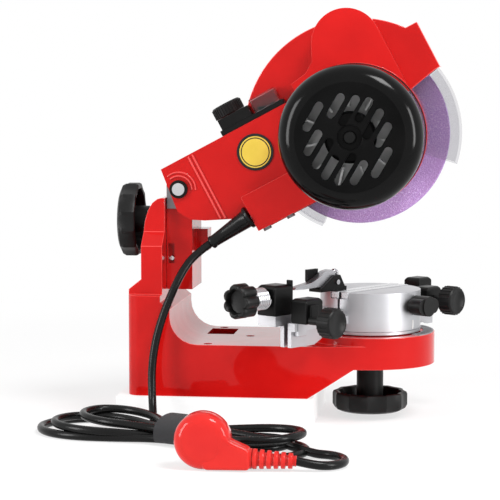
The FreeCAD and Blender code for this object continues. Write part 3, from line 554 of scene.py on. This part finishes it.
def tieStrap(t):
    wide, low, top = t["wide"], t["low"], t["top"]
    outline = [(-15, low), (15, low), (wide, low + 4), (wide, top - 5), (13, top - 0.4),
               (4, top + 1.2), (-9, top - 0.2), (-wide, top - 6), (-wide, low + 4)]
    bm = bmesh.new()
    rows = []
    for p in (-t["half"], -t["half"] * 0.5, 0, t["half"] * 0.5, t["half"]):
        rows.append([bm.verts.new(Vector(onHank(p, q, h)) * mm) for q, h in outline])
    for a, b in zip(rows, rows[1:]):
        for i in range(len(outline)):
            k = (i + 1) % len(outline)
            bm.faces.new((a[i], a[k], b[k], b[i]))
    mesh = fromBmesh(bm, "tie")
    mesh = finished(mesh, [("SUBSURF", {"levels": 2, "render_levels": 2}),
                           ("SOLIDIFY", {"thickness": t["thick"] * mm, "offset": -1})])
    smoothByAngle(mesh, 45)
    return toPiece("cordTie", mesh, "base", ("cord_tie",), strap)


tieStrapPiece = tieStrap(tie)

# plug on its rim: round face, flat grip and slotted sleeve
plug = {"at": (22.0, -217.6, -1.4), "r": 20.2, "deep": 19.0, "end": (88.4, -227.1, -14.6),
        "sleeve": 7.3, "taper": 1.9, "ribs": 6, "pinGap": 9.5, "pinR": 2.4, "pinLong": 19.0,
        "grip": [(9, 13), (20, 1.5), (34, -4.5), (34, -19.4), (2, -19.9), (-4, -10)]}


def plugPieces(p):
    x, y, z = p["at"]
    r, deep = p["r"], p["deep"]
    face = lathe([(0, 0), (r - 2.4, 0), (r - 0.8, 0.6), (r, 2.4), (r, 12.0), (r - 0.6, 14.0), (r - 2.4, 16.6),
                  (r - 5, 18.3), (r - 8, deep), (0, deep)], 72)
    face.transform(aim(p["at"], (0, -1, 0)))
    smoothByAngle(face, 40)
    grip = bevelled(prismMesh([(x + a, z + b) for a, b in p["grip"]], y - deep + 0.5, y - 4), 2.6, 4, 20)
    start, end = Vector((x + 33, p["end"][1], p["end"][2] + 1.0)), Vector(p["end"])
    reach = (end - start).length
    outline = [(0, -0.5), (p["sleeve"] - 0.1, -0.5), (p["sleeve"], 2.0)]
    for i in range(p["ribs"]):
        a, b = 2.6 + (reach - 3.2) * i / p["ribs"], 2.6 + (reach - 3.2) * (i + 0.6) / p["ribs"]
        wide = p["sleeve"] - p["taper"] * i / p["ribs"]
        outline += [(wide - 1.9, a - 0.3), (wide - 0.3, a), (wide, a + 0.5)]
        outline += [(wide - 0.1, b - 0.5), (wide - 0.4, b), (wide - 2.0, b + 0.3)]
    outline += [(3.9, reach - 0.2), (3.6, reach), (0, reach)]
    sleeve = lathe(outline, 48)
    sleeve.transform(aim(start, end - start))
    smoothByAngle(sleeve, 40)
    made = toPiece("plugBody", joined([face, grip, sleeve]), "base", ("plug_body",), redPlug)
    pins, thick, tip = [], p["pinR"], p["pinLong"]
    for off in (-p["pinGap"], p["pinGap"]):
        pin = lathe([(0, 0), (thick, 0), (thick, 9.6), (thick - 0.05, tip - 1.5), (thick - 0.5, tip - 0.3),
                     (0, tip)], 24)
        pin.transform(aim((x + off, y, z), (0, 1, 0)))
        pins.append(pin)
    pinMesh = joined(pins)
    smoothByAngle(pinMesh, 40)
    return made, toPiece("plugPins", pinMesh, "base", ("plug_pins",), steel)


plugBody, plugPins = plugPieces(plug)
print("plug and tie placed")

# motor end cap with its louvres: each slot's middle right and up from the axis, and its length
cap = {"seat": (spindle[0], -60.0, spindle[1]), "screw": (spindle[0], -113.6, spindle[1]),
       "rise": 56.0, "r": 55.0, "round": 15.0, "wall": 3.0, "sink": 1.3, "faceR": 40.5,
       "boss": 19.6, "bossIn": 5.0, "slot": 6.6, "lean": 60.0, "cut": (-122.0, -106.0),
       "slots": [(-27.5, 15.5, 25), (-10.5, 23.5, 21), (-0.5, 20.0, 26), (10.5, 20.5, 21),
                 (17.5, 10.0, 26), (24.8, 2.0, 21), (-27.5, -4.0, 22), (-20.0, -12.0, 26),
                 (-14.5, -22.3, 21), (-3.0, -23.5, 27), (7.0, -26.2, 21), (24.0, -18.5, 26)]}


def stadium(length, width, steps=8):
    half = (length - width) / 2
    made = []
    for end, first in ((half, -90), (-half, 90)):
        for i in range(steps + 1):
            a = math.radians(first + 180 * i / steps)
            made.append((end + width / 2 * math.cos(a), width / 2 * math.sin(a)))
    return made


def motorCap(c):
    inner = c["round"] - c["wall"]
    r, rise = c["r"], c["rise"]
    outline = [(r - c["wall"], 0.0), (r + 0.6, 0.0), (r + 0.6, 2.6), (r, 3.4), (r, 3.6)]
    outline += arcProfile(r - c["round"], rise - c["round"], c["round"], 0, 84, 12)
    outline += [(36.0, rise - 0.1), (30.0, rise - 0.5), (20.0, rise - 1.0), (10.5, rise - c["sink"]),
                (9.6, rise - 1.7), (9.2, rise - 3.4), (5.2, rise - 3.4)]
    outline += [(5.2, rise - 7.4), (37.0, rise - c["sink"] - 3.2)]
    outline += list(reversed(arcProfile(r - c["round"], rise - c["round"], inner, 0, 70, 8)))
    shell = lathe(outline, 144, True)
    shell.transform(aim(c["seat"], (0, -1, 0)))
    lean, rest = math.radians(c["lean"]) - headLean, Matrix.Rotation(-headLean, 2)
    cutters = []
    for right, up, length in c["slots"]:
        middle = rest @ Vector((right, up))
        turn = Matrix.Rotation(lean, 2)
        shape = [middle + turn @ Vector(p) for p in stadium(length, c["slot"])]
        cutters.append(prismMesh([(spindle[0] + q.x, spindle[1] + q.y) for q in shape], *c["cut"]))
    shell = cutBy(shell, [joined(cutters)])
    wide, top, foot = c["boss"], rise - c["bossIn"], rise - 18
    boss = lathe([(0, top), (wide - 2, top), (wide, top - 2), (wide, foot), (0, foot)], 72)
    boss.transform(aim(c["seat"], (0, -1, 0)))
    shell = joined([shell, boss])
    smoothByAngle(shell, 35)
    obj = toPiece("motorCap", shell, "head", ("motor_cap",), glossBlack, toHead)
    obj.data.materials.append(capFace)
    axis = toHead @ (Vector(c["seat"]) * mm)
    for face in obj.data.polygons:
        off = face.center - axis
        if math.hypot(off.x, off.z) < c["faceR"] * mm:
            face.material_index = 1
    screw = lathe([(0, 0), (4.4, 0), (4.4, 1.6), (3.8, 2.3), (0, 2.5)], 32)
    bars = (rect(-3, 3, -0.5, 0.5), rect(-0.5, 0.5, -3, 3))
    screw = cutBy(screw, [joined([prismMesh(bar, 1.6, 4, "Z") for bar in bars])])
    screw.transform(aim(c["screw"], (0, -1, 0)))
    smoothByAngle(screw, 35)
    toPiece("capScrew", screw, "head", ("cap_screw",), blockBlack, toHead)


motorCap(cap)
print("motor cap done")

# head castings
for node, width in (("arm_housing", 1.3), ("motor_housing", 1.5), ("guard_shell", 1.1), ("guard_cover", 0.8),
                    ("wiring_box", 1.4)):
    # bevel strips of the head castings in the lighter red: painted highlight along their edges
    roundedNode(node, "head", red, width, 4, edge=redEdgeHighlight)
print("head castings done")

# raised seam ribs and pivot arcs on the arm, coloured in the lighter red: painted highlight lines
armTrim = {"face": -30.0, "proud": 0.9, "seam": [(19.0, -36.5, 19.0, 19.5), (22.6, -38.2, 22.6, 19.5)],
           "arcs": (10.6, 13.6)}


def strip(points, width, y0, y1):
    left, right = [], []
    for i, p in enumerate(points):
        a, b = Vector(points[max(i - 1, 0)]), Vector(points[min(i + 1, len(points) - 1)])
        way = (b - a).normalized()
        side = Vector((-way.y, way.x)) * width / 2
        left.append(tuple(Vector(p) + side))
        right.append(tuple(Vector(p) - side))
    return prismMesh(left + right[::-1], y0, y1)


def armDetails(t):
    lines = [strip([(a, b), (c, d)], 1.6, t["face"] - t["proud"], t["face"] + 0.5) for a, b, c, d in t["seam"]]
    for r in t["arcs"]:
        ring = [(r * math.cos(math.radians(a)), r * math.sin(math.radians(a))) for a in range(-30, 106, 9)]
        lines.append(strip(ring, 1.2, t["face"] - t["proud"], t["face"] + 0.5))
    mesh = bevelled(joined(lines), 0.35, 2)
    toPiece("armRibs", mesh, "head", (), redEdgeHighlight, toHead)


armDetails(armTrim)

# round badge: plain rings
badge = {"at": (68.5, -30.1, -2.4), "edge": 14.7, "ink": [(10.7, 11.6), (12.6, 14.8)], "high": 0.8}
badgeInk = mouldedBlack("badgeInk", 0.008, 0.2, 0.3, 300.0, 0.02)
badgeSun = newMaterial("badgeSun", (0.66, 0.48, 0.06), 0.25, Specular_IOR_Level=0.3)
mottle(badgeSun, coords(badgeSun), 60.0, ((0.62, 0.45, 0.05), (0.70, 0.52, 0.07)))
grain(badgeSun, coords(badgeSun), 90.0, 3.0, 0.2, 0.32)


def badgePiece(b):
    radii = sorted({r for band in b["ink"] for r in band if r < b["edge"]}, reverse=True)
    outline = [(0, 0.0), (b["edge"], 0.0), (b["edge"], b["high"] - 0.2), (b["edge"] - 0.2, b["high"])]
    disc = lathe(outline + [(r, b["high"]) for r in radii] + [(0, b["high"])], 72)
    disc.transform(aim(b["at"], (0, -1, 0)))
    smoothByAngle(disc)
    obj = toPiece("roundBadge", disc, "head", ("round_badge",), badgeSun, toHead)
    obj.data.materials.append(badgeInk)
    middle = toHead @ (Vector(b["at"]) * mm)
    for face in obj.data.polygons:
        r = (face.center - middle).length / mm
        if any(low < r < high for low, high in b["ink"]):
            face.material_index = 1


badgePiece(badge)

# switch
switchPieces = [("switch_base", "head", 0.9, blockBlack), ("switch_rocker", "switch", 0.6, blockBlack),
                ("switch_cover", "head", 0.8, clear)]
for node, body, width, mat in switchPieces:   # width of the rounded edges, mm
    roundedNode(node, body, mat, width, 3)


# knobs
def lobedMesh(profile, lobes, depth, steps=144, sharp=1.0, ridged=False):
    bm = bmesh.new()
    rings = []
    for r, d, bite in profile:
        ring = []
        for i in range(steps if r else 1):
            a = 2 * math.pi * i / steps
            wave = abs(math.cos(lobes * a / 2)) ** sharp
            wave = 1 - wave if ridged else wave   # hollow flats between ridges, or round lobes
            k = r - bite * depth * (1 - wave)
            ring.append(bm.verts.new((k * mm * math.cos(a), k * mm * math.sin(a), d * mm)))
        rings.append(ring)
    skinRings(bm, rings, steps)
    return fromBmesh(bm, "lobed")


tiltKnob = {"at": (-78.0, 0, 136.5), "way": (1, 0, 0), "r": 30.4, "high": 15.5, "wall": 4.2, "lobes": 12,
            "depth": 1.7, "hub": 11.0, "post": 23.7, "phase": 0.0}
lockKnob = {"at": (126.0, 0, -17.4), "way": (0, 0, 1), "r": 30.4, "high": 16.0, "wall": 4.2, "lobes": 12,
            "depth": 1.7, "hub": 10.8, "post": 39.6, "phase": 15.0}


def cupKnob(k, name, node):
    r, h, hub, top = k["r"], k["high"], k["hub"], k["post"]
    cup = r - k["wall"]
    profile = [(0, 0, 0), (r * 0.55, 0, 0), (r * 0.82, 0.5, 0.1), (r - 1.6, 2.2, 0.6), (r, 5.0, 1)]
    profile += [(r, h - 2.2, 1), (r - 0.7, h - 0.6, 1), (r - 2.0, h, 1), (cup, h - 0.5, 0.7)]
    profile += [(cup - 0.6, h - 2, 0.4), (cup - 1.6, 6.5, 0.1), (cup - 3, 5.2, 0), (hub + 1.2, 5.0, 0)]
    profile += [(hub, 6.2, 0), (hub, top - 0.8, 0), (hub - 0.8, top, 0), (6.2, top, 0), (6.2, 8, 0), (0, 8, 0)]
    mesh = lobedMesh(profile, k["lobes"], k["depth"], 192, 1.0, True)
    mesh.transform(aim(k["at"], k["way"]) @ Matrix.Rotation(math.radians(k["phase"]), 4, "Z"))
    smoothByAngle(mesh, 24)
    toPiece(name, mesh, node, (node,), knobBlack)


cupKnob(tiltKnob, "tiltKnob", "tilt_knob")
cupKnob(lockKnob, "lockKnob", "lock_knob")

stopKnob = {"at": (58.5, 22.5, 35.0), "way": (0, 0, 1), "r": 12.8, "high": 10.5, "ribs": 34, "foot": 3.0,
            "footR": 6.6}
nearKnob = {"at": (36.0, -101, 67), "way": (1, 0, 0), "r": 11.7, "high": 13.0, "ribs": 22, "screwR": 3.0,
            "reach": 14.7}
farKnob = {"at": (32.0, 58, 70), "way": (1, 0, 0), "r": 11.7, "high": 13.0, "ribs": 22, "screwR": 3.0,
           "reach": 10.7}


def ribbedKnob(k, name, node, place):
    r, high = k["r"], k["high"]
    core = [(0, 0), (r * 0.7, 0), (r - 1.2, 0.2), (r - 0.4, 1.0), (r - 0.4, high - 1.2), (r - 1.3, high - 0.2),
            (r * 0.72, high), (r * 0.66, high - 0.8), (0, high - 1.0)]
    if "foot" in k:
        foot, footR = k["foot"], k["footR"]
        core = [(0, -foot), (footR - 0.5, -foot), (footR, -foot + 0.6), (footR, -0.01)] + core[1:]
    rib = prismMesh([(-0.55, -0.62), (0.35, -0.42), (0.35, 0.42), (-0.55, 0.62)], 1.0, high - 1.4, "Z")
    parts = [lathe(core, 72), ringOf(bevelled(rib, 0.22, 2), k["ribs"], r - 0.2, knobBlack)]
    if "screwR" in k:
        screwR, reach = k["screwR"], k["reach"]
        parts.append(lathe([(0, -reach), (screwR, -reach + 0.3), (screwR, 0.4), (0, 0.4)], 24))
    mesh = joined(parts)
    mesh.transform(aim(k["at"], k["way"]))
    smoothByAngle(mesh, 38)
    toPiece(name, mesh, node, (node,), knobBlack, place)


ribbedKnob(stopKnob, "stopKnob", "stop_knob", toHead)
ribbedKnob(nearKnob, "nearSideKnob", "near_side_knob", toVise)
ribbedKnob(farKnob, "farSideKnob", "far_side_knob", toVise)

adjuster = {"at": (-12.0, -134.5, 83.0), "r": 13.6, "high": 15.0, "cup": 9.4, "lobes": 7, "depth": 2.8,
            "screwR": 3.0, "reach": 19.2, "springR": 7.6, "wire": 1.15, "turns": 7, "gap": (1.0, 18.5)}


def adjusterPieces(k):
    r, h, cup = k["r"], k["high"], k["cup"]
    profile = [(0, 0, 0), (6, 0, 0), (r - 1.2, 0.4, 0.8), (r, 1.8, 1), (r, h - 2.4, 1), (r - 0.7, h - 0.6, 1)]
    profile += [(r - 2, h, 0.9), (cup + 0.8, h - 0.3, 0.5), (cup, h - 1.4, 0.2), (cup - 0.6, h - 5.0, 0)]
    profile += [(cup - 2, h - 5.4, 0), (0, h - 5.5, 0)]
    screw = lathe([(0, -k["reach"]), (k["screwR"], -k["reach"]), (k["screwR"], 1), (0, 1)], 24)
    mesh = joined([lobedMesh(profile, k["lobes"], k["depth"], 168, 0.8), screw])
    mesh.transform(aim(k["at"], (0, -1, 0)))
    smoothByAngle(mesh, 38)
    toPiece("adjusterKnob", mesh, "adjuster_knob", ("adjuster_knob",), knobBlack, toVise)
    low, high = k["gap"]
    steps = 28 * k["turns"]
    coil = []
    for i in range(steps + 1):
        a = 2 * math.pi * k["turns"] * i / steps
        down = low + k["wire"] + (high - low - 2 * k["wire"]) * i / steps
        coil.append(Vector((k["springR"] * math.cos(a), k["springR"] * math.sin(a), -down)) * mm)
    collar = lathe([(0, -low - 0.6), (5.2, -low - 0.6), (5.2, -high), (0, -high)], 32)
    spring = joined([tubeAlong(coil, k["wire"] * mm, 10), collar])
    spring.transform(aim(k["at"], (0, -1, 0)))
    smoothByAngle(spring, 45)
    toPiece("adjusterSpring", spring, "vise", ("adjuster_collar",), steel, toVise)


adjusterPieces(adjuster)
print("knobs done")

# vise
visePieces = [("vise_table", "vise", 0.7, machined), ("moving_jaw", "vise_jaw", 0.7, machined),
              ("fixed_rail", "vise", 0.5, steel), ("moving_rail", "vise_jaw", 0.5, steel),
              ("fixed_blocks", "vise", 1.0, blockBlack), ("moving_blocks", "vise_jaw", 1.0, blockBlack),
              ("clamp_lever", "clamp_lever", 1.6, knobBlack), ("pawl_bracket", "vise", 0.5, blockBlack),
              ("chain_pawl", "pawl", 0.8, castMetal), ("pawl_screw", "pawl", 0.3, steel)]
for node, body, width, mat in visePieces:
    roundedNode(node, body, mat, width, 3)
print("vise done")

# base and tilt bracket
# bevel strips of the base and bracket in the lighter red: painted highlight along their edges
roundedNode("base_casting", "base", red, 1.8, 4, edge=redEdgeHighlight)
roundedNode("tilt_bracket", "tilt_bracket", red, 1.2, 3, edge=redEdgeHighlight)
print("base done")

# index mark and scale ticks of the vise
scaleMarks = {"inner": 45.6, "outer": 49.6, "top": 48.82, "step": 5.0, "span": 30.0,
              "mark": (40.55, -30.0, 52.0, 59.5)}
whiteInk = newMaterial("whiteInk", (0.80, 0.80, 0.78), 0.4)
mottle(whiteInk, coords(whiteInk), 80.0, ((0.74, 0.74, 0.72), (0.84, 0.84, 0.82)))


def viseMarks(m):
    ticks = []
    count = int(m["span"] / m["step"])
    for i in range(-count, count + 1):
        inner = m["inner"] - (1.6 if i % 2 == 0 else 0.0)
        tick = prismMesh(rect(inner, m["outer"], -0.22, 0.22), m["top"] - 0.1, m["top"] + 0.05, "Z")
        tick.transform(Matrix.Rotation(math.radians(i * m["step"]), 4, "Z"))
        ticks.append(tick)
    toPiece("scaleTicks", joined(ticks), "base", (), badgeInk, Matrix.Translation(viseAt))
    r, turn, low, high = m["mark"]
    mark = prismMesh(rect(r - 0.6, r + 0.12, -0.7, 0.7), low, high, "Z")
    mark.transform(Matrix.Rotation(math.radians(turn), 4, "Z"))
    toPiece("indexMark", mark, "vise", (), whiteInk, Matrix.Translation(viseAt))


viseMarks(scaleMarks)

blockTrim = {"pad": (5.4, 9.9, -101.0, -91.0, 53.5, 63.9), "fin": (-8.0, -2.4, -95.0, -93.2, 76.0, 96.0),
             "boss": (20.8, 23.6, -102.0, -93.0, 68.5, 79.0)}


def blockDetails(t):
    for name, body, mat, slotName in (("pad", "vise_jaw", machined, "cast"),
                                      ("fin", "vise", blockBlack, "black"),
                                      ("boss", "vise_jaw", blockBlack, "black")):
        x0, x1, y0, y1, z0, z1 = t[name]
        mesh = bevelled(prismMesh(rect(x0, x1, y0, y1), z0, z1, "Z"), 0.6, 3)
        toPiece(name + "Trim", mesh, body, (), mat, toVise)


blockDetails(blockTrim)

# tilt pointer on the bracket and the screw in its slot
pointer = {"shape": [(-36.6, 164.5), (-36.4, 147), (-26.5, 147), (-34.6, 164.5)], "face": -25.0, "proud": 1.2,
           "screw": (-33.0, 107.0)}


def bracketTrim(t):
    wedge = bevelled(prismMesh(t["shape"], t["face"] - t["proud"], t["face"] + 0.4), 0.3, 2)
    toPiece("tiltPointer", wedge, "tilt_bracket", (), greyPlate)
    x, z = t["screw"]
    head = lathe([(0, 0), (2.2, 0), (2.2, 1.6), (1.7, 2.2), (0, 2.4)], 32)
    head = cutBy(head, [prismMesh(rect(-3, 3, -0.35, 0.35), 1.5, 4, "Z")])
    head.transform(aim((x, t["face"] + 3.9, z), (0, -1, 0)))
    smoothByAngle(head)
    toPiece("slotScrew", head, "tilt_bracket", (), steel)


bracketTrim(pointer)

# disc
disc = {"r": 72.5, "half": 1.6, "bore": 11.1, "label": 26.0, "edge": 0.8}


def discMesh(d):
    r, h, edge, label = d["r"], d["half"], d["edge"], d["label"]
    outline = [(d["bore"], -h), (label, -h), (label + 0.4, -h + 0.08), (r - edge, -h), (r, -h + 0.7)]
    outline += [(r, h - 0.7), (r - edge, h), (label + 0.4, h - 0.08), (label, h), (d["bore"], h)]
    mesh = lathe(outline, 160, True)
    mesh.transform(aim((spindle[0], 0, spindle[1]), (0, 1, 0)))
    smoothByAngle(mesh, 30)
    toPiece("grindingDisc", mesh, "spindle", ("grinding_disc",), grit, toHead)


discMesh(disc)

# strain relief: a flange and a smooth taper
relief = {"start": (39.2, -40.0, -46.0), "tip": (4.0, -40.0, -50.1), "flange": 9.2, "neck": 4.8}


def strainRelief(k):
    start, tip = Vector(k["start"]), Vector(k["tip"])
    reach, flange, neck = (tip - start).length, k["flange"], k["neck"]
    outline = [(0, -3.3), (flange - 0.7, -3.3), (flange, -2.7), (flange, -0.7), (flange - 0.6, 0)]
    outline += [(7.8, 0.1), (7.4, 0.8), (6.9, 6.0), (5.6, reach * 0.6), (neck, reach - 3.4)]
    outline += [(neck + 0.5, reach - 2.8), (neck + 0.5, reach - 1.2), (neck, reach - 0.4), (3.6, reach),
                (0, reach)]
    mesh = lathe(outline, 48)
    mesh.transform(aim(start, tip - start))
    smoothByAngle(mesh, 45)
    toPiece("strainRelief", mesh, "head", ("strain_relief",), cordBlack, toHead)


strainRelief(relief)

# finishes of the solids that stay
keep = {"vise_scale_plate": castMetal, "capacitor": castMetal, "disc_flanges": castMetal,
        "tilt_stud": steel, "swing_pin": steel, "stator_core": steel, "bearings": steel, "stop_screw": steel,
        "motor_shaft": steel, "rotor_core": steel, "disc_nut": steel, "return_spring": steel,
        "clamp_screw": steel, "lock_stud": steel, "pawl_pin": steel, "stator_windings": copper,
        "pin_rings": blockBlack, "pan_screws": greyPlate, "cooling_fan": fanGreyPaintedBright,
        "clear_front_guard": clear, "clear_rear_guard": clear}
for node, mat in keep.items():
    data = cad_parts[node].data
    data.materials.clear()
    data.materials.append(mat)
print("finishes done")

# stage and light
stage = {"half": 3.0, "low": -22.0, "board": (-72, 84, -62, 66), "tone": 0.9, "share": 0.66, "glow": 1.03,
         "fade": (0.3, 0.8), "world": 0.45}
# each lamp: place, target, power, width and height
lamps = [("keyLight", (-1.35, -1.0, 0.5), (0.05, 0, 0.14), 22, 0.5, 1.1),
         ("fillLight", (1.4, -0.7, 0.4), (0.05, 0, 0.14), 14, 0.3, 0.9),
         ("topLight", (0.75, -0.75, 1.5), (0.05, 0, 0.1), 20, 0.5, 0.5)]


def paleMaterial(name, tone, share, glow, near, far):
    mat = newMaterial(name, (tone, tone, tone), 0.9, Specular_IOR_Level=0.0)
    tree = mat.node_tree
    light, mix = addNode(mat, "ShaderNodeEmission", Strength=glow), addNode(mat, "ShaderNodeMixShader")
    path = addNode(mat, "ShaderNodeLightPath")
    most = addNode(mat, "ShaderNodeMath", operation="MAXIMUM")
    more = addNode(mat, "ShaderNodeMath", operation="MAXIMUM")
    part = addNode(mat, "ShaderNodeMath", operation="MULTIPLY")
    away = addNode(mat, "ShaderNodeVectorMath", operation="LENGTH")
    spread = addNode(mat, "ShaderNodeMapRange", interpolation_type="SMOOTHSTEP")
    level = addNode(mat, "ShaderNodeMapRange")
    tree.links.new(coords(mat).outputs["Vector"], away.inputs[0])
    for node, low, high in ((spread, share, 1.0), (level, glow, 1.0)):
        node.inputs["From Min"].default_value, node.inputs["From Max"].default_value = near, far
        node.inputs["To Min"].default_value, node.inputs["To Max"].default_value = low, high
        link(mat, away, "Value", node, "Value")
    link(mat, path, "Is Camera Ray", most, 0)
    link(mat, path, "Is Glossy Ray", most, 1)
    link(mat, most, "Value", more, 0)
    link(mat, path, "Is Transmission Ray", more, 1)
    link(mat, more, "Value", part, 0)
    link(mat, spread, "Result", part, 1)
    link(mat, level, "Result", light, "Strength")
    link(mat, part, "Value", mix, "Fac")
    tree.links.new(tree.nodes["Principled BSDF"].outputs[0], mix.inputs[1])
    tree.links.new(light.outputs[0], mix.inputs[2])
    tree.links.new(mix.outputs[0], tree.nodes["Material Output"].inputs["Surface"])
    return mat


def buildStage(s):
    pale = paleMaterial("paleFloor", s["tone"], s["share"], s["glow"], *s["fade"])
    h, floorZ = s["half"], s["low"] * mm
    mesh = bpy.data.meshes.new("floor")
    mesh.from_pydata([(-h, -h, floorZ), (h, -h, floorZ), (h, h, floorZ), (-h, h, floorZ)], [], [(0, 1, 2, 3)])
    ground = bpy.data.objects.new("floor", mesh)
    bench = bpy.data.objects.new("bench", prismMesh(rect(*s["board"]), s["low"], -0.05, "Z"))
    for obj in (ground, bench):
        obj.data.materials.append(pale)
        scene.collection.objects.link(obj)


def lamp(name, place, target, power, wide, tall):
    data = bpy.data.lights.new(name, "AREA")
    data.shape = "RECTANGLE"
    data.energy, data.size, data.size_y = power, wide, tall
    obj = bpy.data.objects.new(name, data)
    obj.location = place
    obj.rotation_euler = (Vector(place) - Vector(target)).to_track_quat("Z", "Y").to_euler()
    scene.collection.objects.link(obj)


def studioWorld(strength):
    # plain light on the object, white where the camera, metal and clear pieces see the background
    world = bpy.data.worlds.new("studio")
    scene.world = world
    world.use_nodes = True
    tree = world.node_tree
    plain, lit = tree.nodes["Background"], tree.nodes.new("ShaderNodeBackground")
    for node, level in ((plain, strength), (lit, 1.0)):
        node.inputs["Color"].default_value = (1, 1, 1, 1)
        node.inputs["Strength"].default_value = level
    rays, mix = tree.nodes.new("ShaderNodeLightPath"), tree.nodes.new("ShaderNodeMixShader")
    either, anyOf = tree.nodes.new("ShaderNodeMath"), tree.nodes.new("ShaderNodeMath")
    either.operation = anyOf.operation = "MAXIMUM"
    tree.links.new(rays.outputs["Is Camera Ray"], either.inputs[0])
    tree.links.new(rays.outputs["Is Transmission Ray"], either.inputs[1])
    tree.links.new(either.outputs[0], anyOf.inputs[0])
    tree.links.new(rays.outputs["Is Glossy Ray"], anyOf.inputs[1])
    tree.links.new(anyOf.outputs[0], mix.inputs["Fac"])
    tree.links.new(plain.outputs[0], mix.inputs[1])
    tree.links.new(lit.outputs[0], mix.inputs[2])
    tree.links.new(mix.outputs[0], tree.nodes["World Output"].inputs["Surface"])


buildStage(stage)
for name, place, target, power, wide, tall in lamps:
    lamp(name, place, target, power, wide, tall)
studioWorld(stage["world"])
print("stage and light done")
